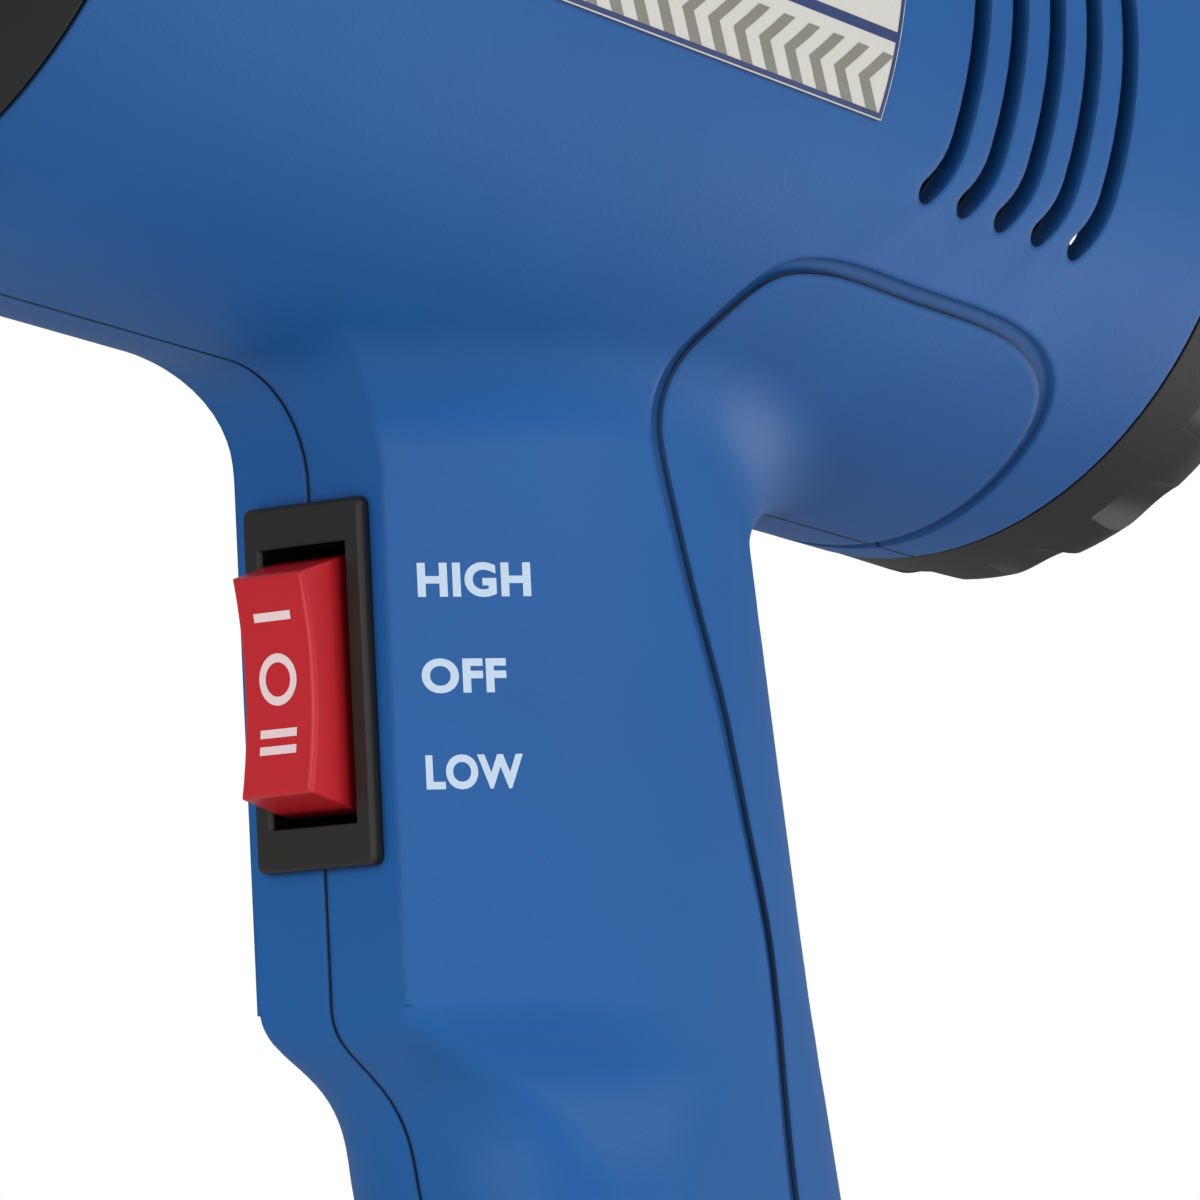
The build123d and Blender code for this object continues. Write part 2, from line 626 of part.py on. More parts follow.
with BuildPart() as nozzle_flange:
    with BuildSketch(Plane.YZ.offset(x_flange)):
        Circle(front_spigot_r - FIT)
        Circle(NOZZLE_REAR_R + FIT / 3, mode=Mode.SUBTRACT)
        with PolarLocations((front_spigot_r + NOZZLE_R) / 2, FLANGE_VENTS):
            Circle(FLANGE_VENT_R, mode=Mode.SUBTRACT)
    extrude(amount=FLANGE_T)

with BuildPart() as mica_tube:
    with BuildSketch(Plane.YZ.offset(MICA_START)):
        Circle(MICA_R)
        Circle(MICA_R - MICA_T, mode=Mode.SUBTRACT)
    extrude(amount=x_mica_end - MICA_START)

with BuildPart() as heater_former:
    with BuildSketch(Plane.YZ.offset(MICA_START + 2.0)):
        Rectangle(2 * FORMER_HALF_W, FORMER_T)
        Rectangle(FORMER_T, 2 * FORMER_HALF_W)
    extrude(amount=x_base - MICA_START - 2.0 - FIT)

with BuildPart() as heater_coil:
    coil_start = MICA_START + 6.0
    turns = int((x_base - 6.0 - coil_start) / COIL_PITCH)
    with BuildLine() as coil_path:
        Helix(COIL_PITCH, turns * COIL_PITCH, COIL_R, center=(coil_start, 0, 0), direction=(1, 0, 0))
    with BuildSketch(Plane(origin=coil_path.line @ 0, z_dir=coil_path.line % 0)):
        Circle(COIL_WIRE_R)
    sweep(path=coil_path.line, is_frenet=True)

with BuildPart() as heater_base:
    with BuildSketch(Plane.YZ.offset(x_base)):
        Circle(MICA_R - MICA_T - FIT)
        with PolarLocations((MICA_R - MICA_T) * 0.62, BASE_HOLES):
            Circle(BASE_HOLE_R, mode=Mode.SUBTRACT)
    extrude(amount=BASE_T)

with BuildPart() as thermal_cutoff:
    with BuildSketch(Plane(origin=(x_base - CUTOFF_GAP, CUTOFF_OUT, CUTOFF_OUT), z_dir=(-1, 0, 0))):
        Circle(CUTOFF_R)
    extrude(amount=CUTOFF_LEN)

# ---------------------------------------------------------------- air path and fan
with BuildPart() as air_guide:
    throat_r = NOZZLE_REAR_R + FIT
    throat_x = x_nozzle_end - 6.0
    mouth_x = x_shroud - FIT
    mouth_guide_r = SHROUD_R - GUIDE_WALL - 0.3
    with BuildSketch(Plane.XZ):
        with BuildLine():
            Polyline((throat_x, throat_r), (x_nozzle_end + 1.0, throat_r), (mouth_x - 4.0, mouth_guide_r),
                     (mouth_x, mouth_guide_r), (mouth_x, mouth_guide_r + GUIDE_WALL),
                     (mouth_x - 4.0 - GUIDE_WALL / 2, mouth_guide_r + GUIDE_WALL),
                     (x_nozzle_end + 1.0 - GUIDE_WALL / 2, throat_r + GUIDE_WALL),
                     (throat_x, throat_r + GUIDE_WALL), close=True)
        make_face()
    revolve(axis=Axis.X)
    # Opening for the heater's leads
    with BuildSketch(Plane.XY.offset(-SHROUD_R - 1.0)):
        with Locations((x_nozzle_end + 9.0, 0)):
            Rectangle(9.0, 9.0)
    extrude(amount=SHROUD_R - 8.0, mode=Mode.SUBTRACT)

with BuildPart() as fan_shroud:
    with BuildSketch(Plane.YZ.offset(x_shroud)):
        Circle(SHROUD_R)
        Circle(SHROUD_R - SHROUD_WALL, mode=Mode.SUBTRACT)
    extrude(amount=SHROUD_LEN)
    with BuildSketch(Plane.YZ.offset(x_shroud)):
        Circle(shroud_lip_r)
        Circle(SHROUD_R - SHROUD_WALL, mode=Mode.SUBTRACT)
        with Locations((0, -shroud_lip_r)):
            Rectangle(WIRE_WAY, 2 * SHROUD_LIP, mode=Mode.SUBTRACT)
    extrude(amount=SHROUD_LIP)
    with BuildSketch(Plane.YZ.offset(x_plate)):
        Circle(SHROUD_R)
        Circle(MOTOR_BOSS_R + FIT, mode=Mode.SUBTRACT)
        with PolarLocations(PLATE_VENT_PCR, PLATE_VENTS, start_angle=30):
            Circle(PLATE_VENT_R, mode=Mode.SUBTRACT)
        with PolarLocations(MOTOR_SCREW_PCD / 2, 2):
            Circle(MOTOR_SCREW_R + FIT, mode=Mode.SUBTRACT)
    extrude(amount=MOTOR_PLATE_T)

with BuildPart() as fan_impeller:
    fan_x = x_shroud + 6.0
    with BuildSketch(Plane.YZ.offset(fan_x)):
        Circle(FAN_HUB_R)
    extrude(amount=FAN_LEN)
    for i in range(FAN_BLADES):
        with BuildSketch(radial_plane(fan_x + FAN_LEN / 2, FAN_HUB_R - 1.5, 360.0 / FAN_BLADES * i)):
            Rectangle(FAN_LEN - 2.0, BLADE_T, rotation=FAN_TWIST)
        extrude(amount=FAN_R)
    with BuildSketch(Plane.YZ.offset(fan_x)):
        Circle(FAN_R)
    extrude(amount=FAN_LEN, mode=Mode.INTERSECT)
    with BuildSketch(Plane.YZ.offset(fan_x - 1.0)):
        Circle(SHAFT_R + 0.01)
    extrude(amount=FAN_LEN + 2.0, mode=Mode.SUBTRACT)

# ---------------------------------------------------------------- motor
with BuildPart() as motor_can:
    with BuildSketch(Plane.YZ.offset(x_motor)):
        Circle(MOTOR_R)
    extrude(amount=MOTOR_LEN)
    with BuildSketch(Plane.YZ.offset(x_motor + MOTOR_WALL)):
        Circle(motor_in_r)
    extrude(amount=MOTOR_LEN, mode=Mode.SUBTRACT)
    with BuildSketch(Plane.YZ.offset(x_motor - MOTOR_BOSS_LEN)):
        Circle(MOTOR_BOSS_R)
    extrude(amount=MOTOR_BOSS_LEN)
    with BuildSketch(Plane.YZ.offset(x_motor - MOTOR_BOSS_LEN - 1.0)):
        Circle(BUSH_R + FIT / 3)
        with PolarLocations(MOTOR_SCREW_PCD / 2, 2):
            Circle(MOTOR_SCREW_R + FIT / 3)
    extrude(amount=MOTOR_BOSS_LEN + MOTOR_WALL + 2.0, mode=Mode.SUBTRACT)

with BuildPart() as motor_screws:
    for angle in (0, 180):
        with BuildSketch(Plane.YZ.offset(x_plate - FIT)):
            with PolarLocations(MOTOR_SCREW_PCD / 2, 1, start_angle=angle):
                Circle(MOTOR_SCREW_R)
        extrude(amount=MOTOR_PLATE_T + MOTOR_WALL + 2 * FIT)
        with BuildSketch(Plane.YZ.offset(x_plate - FIT)):
            with PolarLocations(MOTOR_SCREW_PCD / 2, 1, start_angle=angle):
                Circle(MOTOR_SCREW_HEAD_R)
        extrude(amount=-MOTOR_SCREW_HEAD_H)

with BuildPart() as motor_bushings:
    for x in (x_motor - MOTOR_BOSS_LEN, x_motor_end):
        with BuildSketch(Plane.YZ.offset(x)):
            Circle(BUSH_R)
            Circle(SHAFT_R + RUNNING, mode=Mode.SUBTRACT)
        extrude(amount=BUSH_LEN)

with BuildPart() as motor_magnets:
    with BuildSketch(Plane.YZ.offset(x_armature - 2.0)):
        Circle(motor_in_r - FIT / 3)
        Circle(motor_in_r - MAGNET_T, mode=Mode.SUBTRACT)
        Rectangle(2 * MOTOR_R * sin(radians(90 - MAGNET_ARC / 2)), 2 * MOTOR_R, mode=Mode.SUBTRACT)
    extrude(amount=ARMATURE_LEN + 4.0)

with BuildPart() as rotor_shaft:
    with BuildSketch(Plane.YZ.offset(x_shaft)):
        Circle(SHAFT_R)
    extrude(amount=x_motor_end + BUSH_LEN - 0.5 - x_shaft)

with BuildPart() as armature_core:
    with BuildSketch(Plane.YZ.offset(x_armature)):
        Circle(ARMATURE_R)
        Circle(SHAFT_R + 0.01, mode=Mode.SUBTRACT)
        with PolarLocations((ARMATURE_R + 3.0) / 2 + 2.0, ARMATURE_SLOTS):
            Rectangle(ARMATURE_R, 2.4, mode=Mode.SUBTRACT)
    extrude(amount=ARMATURE_LEN)

with BuildPart() as rotor_winding:
    for x in (x_armature - WINDING_LEN - 0.1, x_armature + ARMATURE_LEN + 0.1):
        with BuildSketch(Plane.YZ.offset(x)):
            Circle(WINDING_R)
            Circle(SHAFT_R + 0.6, mode=Mode.SUBTRACT)
        extrude(amount=WINDING_LEN)
    fillet(rotor_winding.edges().filter_by(GeomType.CIRCLE).filter_by(lambda e: e.radius > SHAFT_R + 1.0), 1.4)

with BuildPart() as commutator:
    with BuildSketch(Plane.YZ.offset(x_commutator)):
        Circle(COMMUTATOR_R)
        Circle(SHAFT_R + 0.01, mode=Mode.SUBTRACT)
    extrude(amount=COMMUTATOR_LEN)

with BuildPart() as motor_end_bell:
    with BuildSketch(Plane.YZ.offset(x_motor_end)):
        Circle(MOTOR_R)
    extrude(amount=BELL_T)
    with BuildSketch(Plane.YZ.offset(x_motor_end)):
        Circle(motor_in_r - FIT / 3)
    extrude(amount=-BELL_PLUG)
    # Room for the commutator, and the rear bushing's seat
    with BuildSketch(Plane.YZ.offset(x_motor_end - BELL_PLUG - 1.0)):
        Circle(COMMUTATOR_R + 1.2)
    extrude(amount=BELL_PLUG + 1.0, mode=Mode.SUBTRACT)
    with BuildSketch(Plane.YZ.offset(x_motor_end - 1.0)):
        Circle(BUSH_R + FIT / 3)
    extrude(amount=BELL_T + 2.0, mode=Mode.SUBTRACT)
    # Brush channels
    with BuildSketch(Plane.XZ):
        with Locations((x_commutator + COMMUTATOR_LEN / 2, 0)):
            Rectangle(BRUSH_W + 2 * FIT, BRUSH_W + 2 * FIT)
    extrude(amount=COMMUTATOR_R + BRUSH_LEN + 1.0, both=True, mode=Mode.SUBTRACT)
    # Standoffs for the rectifier board
    with BuildSketch(Plane.YZ.offset(x_bell_end)):
        with PolarLocations(MOTOR_SCREW_PCD / 2, 2):
            Circle(1.6)
    extrude(amount=BOARD_GAP - FIT / 3)

with BuildPart() as motor_brushes:
    for side in (-1, 1):
        with BuildSketch(Plane.XZ.offset(side * (COMMUTATOR_R + 0.08))):
            with Locations((x_commutator + COMMUTATOR_LEN / 2, 0)):
                Rectangle(BRUSH_W, BRUSH_W)
        extrude(amount=side * BRUSH_LEN)

# ---------------------------------------------------------------- rectifier
with BuildPart() as rectifier_board:
    with BuildSketch(Plane.YZ.offset(x_board)):
        Circle(BOARD_R)
        Circle(BUSH_R + 1.0, mode=Mode.SUBTRACT)
    extrude(amount=BOARD_T)

with BuildPart() as rectifier_diodes:
    for y in (-7.5, 7.5):
        for z in (-4.0, 4.0):
            with BuildSketch(Plane(origin=(x_board + BOARD_T + DIODE_R + FIT / 3, y, z), z_dir=(0, 0, 1))):
                Circle(DIODE_R)
            extrude(amount=DIODE_LEN / 2, both=True)

# ---------------------------------------------------------------- switch
pivot = panel.offset(-PIVOT_DEPTH)

with BuildPart() as switch_body:
    with BuildSketch(panel):
        RectangleRounded(BEZEL_W, BEZEL_L, 0.8)
    extrude(amount=BEZEL_T)
    with BuildSketch(panel):
        Rectangle(SWITCH_W, SWITCH_L)
    extrude(amount=-SWITCH_DEPTH)
    with BuildSketch(panel.offset(BEZEL_T)):
        Rectangle(SWITCH_HOLE_W, SWITCH_HOLE_L)
    extrude(amount=-(BEZEL_T + SWITCH_HOLE_DEPTH), mode=Mode.SUBTRACT)
    chamfer(switch_body.edges().filter_by(lambda e: abs(panel.to_local_coords(e.center()).Z - BEZEL_T) < 0.01
                                          and abs(panel.to_local_coords(e.center()).X) <= BEZEL_W / 2
                                          and e.length > BEZEL_W - 2.0), 0.3)
    # Holes for the rocker's pivot pins
    with BuildSketch(Plane(origin=pivot.origin, x_dir=panel_back, z_dir=(0, 1, 0))):
        Circle(PIVOT_R + 0.05)
    extrude(amount=ROCKER_W / 2 + PIVOT_OUT + 0.1, both=True, mode=Mode.SUBTRACT)

with BuildPart() as rocker:
    side = Plane(origin=pivot.origin, x_dir=-panel_down, z_dir=(0, -1, 0))
    bezel_h = PIVOT_DEPTH + BEZEL_T
    tip_h = bezel_h + ROCKER_TIP_H
    with BuildSketch(side):
        with BuildLine():
            ThreePointArc((-ROCKER_TIP, tip_h), (0, tip_h - ROCKER_DIP), (ROCKER_TIP, tip_h))
            Polyline((ROCKER_TIP, tip_h), (ROCKER_BASE, bezel_h), (ROCKER_SKIRT, bezel_h - 1.8),
                     (ROCKER_SKIRT, 0), (ROCKER_SKIRT - ROCKER_UNDER, -ROCKER_UNDER),
                     (ROCKER_UNDER - ROCKER_SKIRT, -ROCKER_UNDER), (-ROCKER_SKIRT, 0),
                     (-ROCKER_SKIRT, bezel_h - 1.8), (-ROCKER_BASE, bezel_h), (-ROCKER_TIP, tip_h))
        make_face()
    extrude(amount=ROCKER_W / 2, both=True)
    # Sides that draw in towards the face
    with BuildSketch(Plane(origin=pivot.origin, x_dir=(0, 1, 0), z_dir=panel_down)):
        with BuildLine():
            Polyline((-ROCKER_W / 2, ROCKER_UNDER), (ROCKER_W / 2, ROCKER_UNDER), (ROCKER_W / 2, -bezel_h),
                     (ROCKER_TOP_W / 2, -tip_h), (-ROCKER_TOP_W / 2, -tip_h), (-ROCKER_W / 2, -bezel_h),
                     close=True)
        make_face()
    extrude(amount=2 * ROCKER_SKIRT, both=True, mode=Mode.INTERSECT)
    top = rocker.faces().filter_by(GeomType.CYLINDER)
    fillet(top.edges(), 0.45)
    with BuildSketch(side):
        Circle(PIVOT_R)
    extrude(amount=ROCKER_W / 2 + PIVOT_OUT, both=True)

with BuildPart() as switch_terminals:
    for i in (-1, 0, 1):
        with BuildSketch(panel.offset(-SWITCH_DEPTH - FIT / 3)):
            with Locations((0, i * BLADE_PITCH)):
                Rectangle(BLADE_W, 0.8)
        extrude(amount=-BLADE_LEN)

# ---------------------------------------------------------------- cord inlet
with BuildPart() as cord_inlet_bush:
    with BuildSketch(inlet.offset(FIT)):
        Circle(BUSH_FLANGE_R)
    extrude(amount=BUSH_FLANGE_T)
    fillet(cord_inlet_bush.faces().sort_by(Axis((0, 0, 0), panel_down))[-1].edges(), 1.0)
    with BuildSketch(inlet.offset(FIT)):
        Circle(BUSH_OUT_R)
    extrude(amount=-(WALL + 2 * FIT))
    with BuildSketch(inlet.offset(-WALL - FIT)):
        Circle(BUSH_FLANGE_R)
    extrude(amount=-BUSH_FLANGE_T)
    with BuildSketch(inlet.offset(BUSH_FLANGE_T + 1.0)):
        Circle(BUSH_BORE_R)
    extrude(amount=-(WALL + 2 * BUSH_FLANGE_T + 2.0), mode=Mode.SUBTRACT)

clamp_plane = Plane(origin=clamp + Vector(0, FIT, 0), x_dir=panel_back, z_dir=(0, 1, 0))

with BuildPart() as cord_clamp:
    with BuildSketch(clamp_plane):
        SlotOverall(CLAMP_L, CLAMP_W)
        with Locations((-CLAMP_PITCH / 2, 0), (CLAMP_PITCH / 2, 0)):
            Circle(SCREW_R + FIT, mode=Mode.SUBTRACT)
    extrude(amount=CLAMP_T)

with BuildPart() as clamp_screws:
    for side_x in (-CLAMP_PITCH / 2, CLAMP_PITCH / 2):
        with BuildSketch(clamp_plane.offset(CLAMP_T + FIT / 3)):
            with Locations((side_x, 0)):
                Circle(SCREW_HEAD_R)
        extrude(amount=SCREW_HEAD_H)
        with BuildSketch(clamp_plane.offset(CLAMP_T + FIT / 3)):
            with Locations((side_x, 0)):
                Circle(SCREW_R)
        extrude(amount=-(CLAMP_T + SCREW_BITE))

# ---------------------------------------------------------------- leads inside the gun
def lead(points):
    """Insulated wire along straight runs with round bends."""
    with BuildPart() as wire:
        with BuildLine() as path:
            FilletPolyline(*points, radius=WIRE_BEND)
        with BuildSketch(Plane(origin=path.line @ 0, z_dir=path.line % 0)):
            Circle(WIRE_R)
        sweep(path=path.line)
    return wire.part


def blade_tip(index, y, beyond=0.0):
    """Point behind a switch blade's end, at y across the gun."""
    reach = SWITCH_DEPTH + BLADE_LEN + 2 * FIT + beyond
    return panel_centre - panel_down * (index * BLADE_PITCH) + panel_back * reach + Vector(0, y, 0)


with BuildPart() as heater_leads:
    for y in (-2.0, 2.0):
        low_z = -(SHROUD_R + 2 * WIRE_R)
        guide_x = x_nozzle_end + 9.0
        turn = blade_tip(1, y, beyond=6.0)
        add(lead([(x_base + BASE_T + FIT, y, -4.0), (guide_x, y, -4.0), (guide_x, y, low_z),
                  (turn.X, y, low_z), turn, blade_tip(1, y)]))

with BuildPart() as motor_leads:
    for y in (-1.6, 1.6):
        board_edge_z = -(BOARD_R + FIT)
        low_z = -(MOTOR_R + 3.5)
        turn = blade_tip(-1, y, beyond=6.0)
        add(lead([(x_board + BOARD_T / 2, y, board_edge_z), (x_board + BOARD_T / 2, y, low_z),
                  (turn.X, y, low_z), turn, blade_tip(-1, y)]))

# ---------------------------------------------------------------- write the pieces
PIECES = {
    "housing_left": housing_left,
    "housing_right": housing_right,
    "housing_screws": housing_screws,
    "side_label": side_label,
    "front_collar": front_collar,
    "rear_cap": rear_cap,
    "nozzle_tube": nozzle_tube,
    "nozzle_flange": nozzle_flange,
    "mica_tube": mica_tube,
    "heater_former": heater_former,
    "heater_coil": heater_coil,
    "heater_base": heater_base,
    "thermal_cutoff": thermal_cutoff,
    "air_guide": air_guide,
    "fan_shroud": fan_shroud,
    "fan_impeller": fan_impeller,
    "motor_can": motor_can,
    "motor_screws": motor_screws,
    "motor_bushings": motor_bushings,
    "motor_magnets": motor_magnets,
    "rotor_shaft": rotor_shaft,
    "armature_core": armature_core,
    "rotor_winding": rotor_winding,
    "commutator": commutator,
    "motor_end_bell": motor_end_bell,
    "motor_brushes": motor_brushes,
    "rectifier_board": rectifier_board,
    "rectifier_diodes": rectifier_diodes,
    "switch_body": switch_body,
    "rocker": rocker,
    "switch_terminals": switch_terminals,
    "cord_inlet_bush": cord_inlet_bush,
    "cord_clamp": cord_clamp,
    "clamp_screws": clamp_screws,
    "heater_leads": heater_leads,
    "motor_leads": motor_leads,
}

os.makedirs("parts", exist_ok=True)
for name, piece in PIECES.items():
    piece.part.label = name
    export_step(piece.part, f"parts/{name}.step")
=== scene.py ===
# %% [markdown]
# # A pistol heat gun
# The gun's shape comes from its CAD frame: every piece is already in place, in metres, with the nozzle
# pointing to -X and the handle hanging towards -Z. This notebook gives each piece its real finish, adds what
# is printed on the gun, and sets up the studio. We start by loading the frame and keeping its size.

# %% Load the frame
import json
from math import cos, pi, radians, sin

import bpy
from mathutils import Matrix, Vector
from mathutils.bvhtree import BVHTree


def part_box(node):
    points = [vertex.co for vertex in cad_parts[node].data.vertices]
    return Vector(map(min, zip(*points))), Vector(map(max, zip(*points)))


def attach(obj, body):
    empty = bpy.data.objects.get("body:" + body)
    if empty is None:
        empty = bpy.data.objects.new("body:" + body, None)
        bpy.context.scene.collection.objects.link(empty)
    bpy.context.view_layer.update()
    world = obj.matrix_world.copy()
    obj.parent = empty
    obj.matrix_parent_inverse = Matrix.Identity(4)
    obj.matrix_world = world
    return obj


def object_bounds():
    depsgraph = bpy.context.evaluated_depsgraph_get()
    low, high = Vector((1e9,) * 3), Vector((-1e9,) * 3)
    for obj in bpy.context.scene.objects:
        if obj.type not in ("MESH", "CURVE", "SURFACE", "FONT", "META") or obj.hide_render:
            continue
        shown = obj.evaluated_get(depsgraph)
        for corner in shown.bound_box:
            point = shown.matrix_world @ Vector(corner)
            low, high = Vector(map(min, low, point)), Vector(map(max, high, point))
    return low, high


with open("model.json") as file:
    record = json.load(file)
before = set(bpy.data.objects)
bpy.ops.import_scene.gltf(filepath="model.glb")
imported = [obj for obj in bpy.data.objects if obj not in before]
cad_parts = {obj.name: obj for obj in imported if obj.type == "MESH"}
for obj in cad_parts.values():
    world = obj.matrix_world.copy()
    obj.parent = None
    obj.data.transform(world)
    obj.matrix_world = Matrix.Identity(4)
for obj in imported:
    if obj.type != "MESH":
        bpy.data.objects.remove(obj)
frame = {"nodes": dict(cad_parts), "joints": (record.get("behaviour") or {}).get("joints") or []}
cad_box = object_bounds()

nodes = frame["nodes"]
MM = 0.001
print("CAD box, mm:", [round(c / MM, 1) for corner in cad_box for c in corner])

# %% [markdown]
# Most places on the gun follow from two lines: the barrel's axis, which is the X axis, and the panel that
# the rocker switch sits in. The switch's hinge gives us a point of that panel. The panel leans 10 degrees
# from vertical, and the hinge lies 3.4 mm behind its face.

# %% The switch panel and the barrel
PANEL_LEAN = radians(10.0)
PIVOT_DEPTH = 3.4 * MM
PAD_HALF_WIDTH = 8.8 * MM
PAD_FLARE = radians(21.0)

rocker_joint = next(joint for joint in frame["joints"] if joint["name"] == "rocker_tilt")
panel_in = Vector((cos(PANEL_LEAN), 0, sin(PANEL_LEAN)))
panel_up = Vector((-sin(PANEL_LEAN), 0, cos(PANEL_LEAN)))
left = Vector((0, -1, 0))
switch_centre = Vector(rocker_joint["pos_m"]) - panel_in * PIVOT_DEPTH

front_seam_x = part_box("housing_left")[0].x
print("switch centre, mm:", [round(c / MM, 2) for c in switch_centre])

# %% [markdown]
# ## Camera
# A long lens from under the nozzle's left side. The direction is given as an azimuth and an elevation, with
# a few degrees of roll, so that the gun hangs a little askew in the frame. The two shifts slide the camera
# sideways, so that the switch sits left of the middle.

# %% Camera
CAMERA_AZIMUTH = radians(-46.72)
CAMERA_ELEVATION = radians(-11.91)
CAMERA_ROLL = radians(4.15)
CAMERA_DISTANCE = 0.6502
SWITCH_LEFT_OF_MIDDLE = 23.9 * MM
SWITCH_UNDER_MIDDLE = 7.3 * MM
CAMERA_LENS = 231.04

toward_camera = Vector((sin(CAMERA_AZIMUTH) * cos(CAMERA_ELEVATION),
                        -cos(CAMERA_AZIMUTH) * cos(CAMERA_ELEVATION),
                        sin(CAMERA_ELEVATION)))
level_right = (-toward_camera).cross(Vector((0, 0, 1))).normalized()
level_up = level_right.cross(-toward_camera)
view_right = cos(CAMERA_ROLL) * level_right + sin(CAMERA_ROLL) * level_up
view_up = cos(CAMERA_ROLL) * level_up - sin(CAMERA_ROLL) * level_right

camera_data = bpy.data.cameras.new("studio_camera")
camera_data.lens = CAMERA_LENS
camera_data.sensor_width = 36.0
camera_data.clip_start = 0.01
camera_data.clip_end = 50.0
camera = bpy.data.objects.new("studio_camera", camera_data)
place = (switch_centre + toward_camera * CAMERA_DISTANCE
         + view_right * SWITCH_LEFT_OF_MIDDLE + view_up * SWITCH_UNDER_MIDDLE)
turn = Matrix((view_right, view_up, toward_camera)).transposed().to_4x4()
camera.matrix_world = Matrix.Translation(place) @ turn
bpy.context.scene.collection.objects.link(camera)
bpy.context.scene.camera = camera
print("camera, m:", [round(c, 3) for c in place])

# %% [markdown]
# ## Studio
# The gun is shown against white. The room is pure white to the camera, but lights the gun at less than half
# of that, so that the plastic keeps its depth of colour: a Light Path node tells the two apart. One large
# soft light stands above the gun's left side, one ahead of it and a weaker one low behind it. The floor lies
# well below the gun, because the camera looks up at it from under the barrel.

# %% Lights, world and floor
FLOOR_DROP = 1.1
FLOOR_HALF = 30.0
ROOM_LIGHT = 0.36


def area_light(name, direction, distance, size, power, target):
    """Square soft light that shines on a target from a direction."""
    data = bpy.data.lights.new(name, "AREA")
    data.size = size
    data.energy = power
    light = bpy.data.objects.new(name, data)
    light.location = target + Vector(direction).normalized() * distance
    light.rotation_mode = "QUATERNION"
    light.rotation_quaternion = (light.location - target).to_track_quat("Z", "Y")
    bpy.context.scene.collection.objects.link(light)
    print(name, "light:", power, "W")


gun_middle = (cad_box[0] + cad_box[1]) / 2
area_light("key", (0.15, -1.0, 0.5), 1.6, 0.9, 11.0, gun_middle)
area_light("fill", (-1.0, -0.3, -0.1), 1.5, 1.2, 13.5, gun_middle)
area_light("rim", (1.0, -0.35, -0.25), 1.6, 0.8, 7.0, gun_middle)

world = bpy.data.worlds.new("white_room")
world.use_nodes = True
room = world.node_tree
seen = room.nodes["Background"]
seen.inputs["Color"].default_value = (1.0, 1.0, 1.0, 1.0)
lighting = room.nodes.new("ShaderNodeBackground")
lighting.inputs["Color"].default_value = (0.93, 0.96, 1.0, 1.0)
lighting.inputs["Strength"].default_value = ROOM_LIGHT
by_ray = room.nodes.new("ShaderNodeMixShader")
room.links.new(room.nodes.new("ShaderNodeLightPath").outputs["Is Camera Ray"], by_ray.inputs["Fac"])
room.links.new(lighting.outputs["Background"], by_ray.inputs[1])
room.links.new(seen.outputs["Background"], by_ray.inputs[2])
room.links.new(by_ray.outputs["Shader"], room.nodes["World Output"].inputs["Surface"])
bpy.context.scene.world = world
bpy.context.scene.view_settings.view_transform = "Standard"

floor_mesh = bpy.data.meshes.new("floor")
floor_z = cad_box[0].z - FLOOR_DROP
floor_corners = [(x * FLOOR_HALF, y * FLOOR_HALF, floor_z) for x, y in ((-1, -1), (1, -1), (1, 1), (-1, 1))]
floor_mesh.from_pydata(floor_corners, [], [(0, 1, 2, 3)])
floor = bpy.data.objects.new("floor", floor_mesh)
bpy.context.scene.collection.objects.link(floor)
print("floor at", round(floor_z, 3), "m")

# %% [markdown]
# ## Helpers for materials
# Paint charts and plastics are matched as sRGB hex values, but the shader works in linear light, so
# one function does that conversion. A second one adds a node, sets its values and makes its links in one
# call, which keeps each material short enough to read.

# %% Colour and node helpers
def linear(hex_colour, alpha=1.0):
    """Linear RGBA of an sRGB hex colour."""
    channels = [int(hex_colour[i:i + 2], 16) / 255 for i in (1, 3, 5)]
    return [c / 12.92 if c <= 0.04045 else ((c + 0.055) / 1.055) ** 2.4 for c in channels] + [alpha]


def add_node(tree, kind, values=None, links=None, **settings):
    """Adds a node with its settings, its sockets' values and the outputs linked to its sockets."""
    node = tree.nodes.new(kind)
    for name, value in settings.items():
        setattr(node, name, value)
    for socket, value in (values or {}).items():
        node.inputs[socket].default_value = value
    for socket, source in (links or {}).items():
        tree.links.new(source, node.inputs[socket])
    return node


def start_material(name, **surface):
    """Material with a Principled shader, and the object's own coordinates to draw patterns in."""
    material = bpy.data.materials.new(name)
    material.use_nodes = True
    tree = material.node_tree
    shader = tree.nodes["Principled BSDF"]
    for socket, value in surface.items():
        shader.inputs[socket.replace("_", " ")].default_value = value
    position = add_node(tree, "ShaderNodeTexCoord").outputs["Object"]
    return material, tree, shader, position


# %% [markdown]
# ## Moulded plastics
# The housing is ABS, moulded in a spark-eroded tool. The tool's fine pits give the plastic a dull, even
# grain of about a third of a millimetre, which catches the light as a soft sparkle. Slow flow of the melt
# leaves the colour very slightly uneven over a few centimetres. We draw both: a large, faint noise in the
# colour, and a small one in the height. The grain is drawn at 0.4 mm, a little coarser than it is, so that
# it shows. Vents, slots and grooves get painted shade: an Ambient Occlusion node finds them and darkens the
# colour there towards a near black of the plastic. No moulded corner is really sharp, so a
# Bevel node rounds them in the shading by a few tenths of a millimetre.

# %% Moulded plastic
# Reach and strength of the painted shade that darkens vents, slots and grooves.
CREVICE_SHADE_REACH = 4 * MM
CREVICE_SHADE_SHARE = 0.22


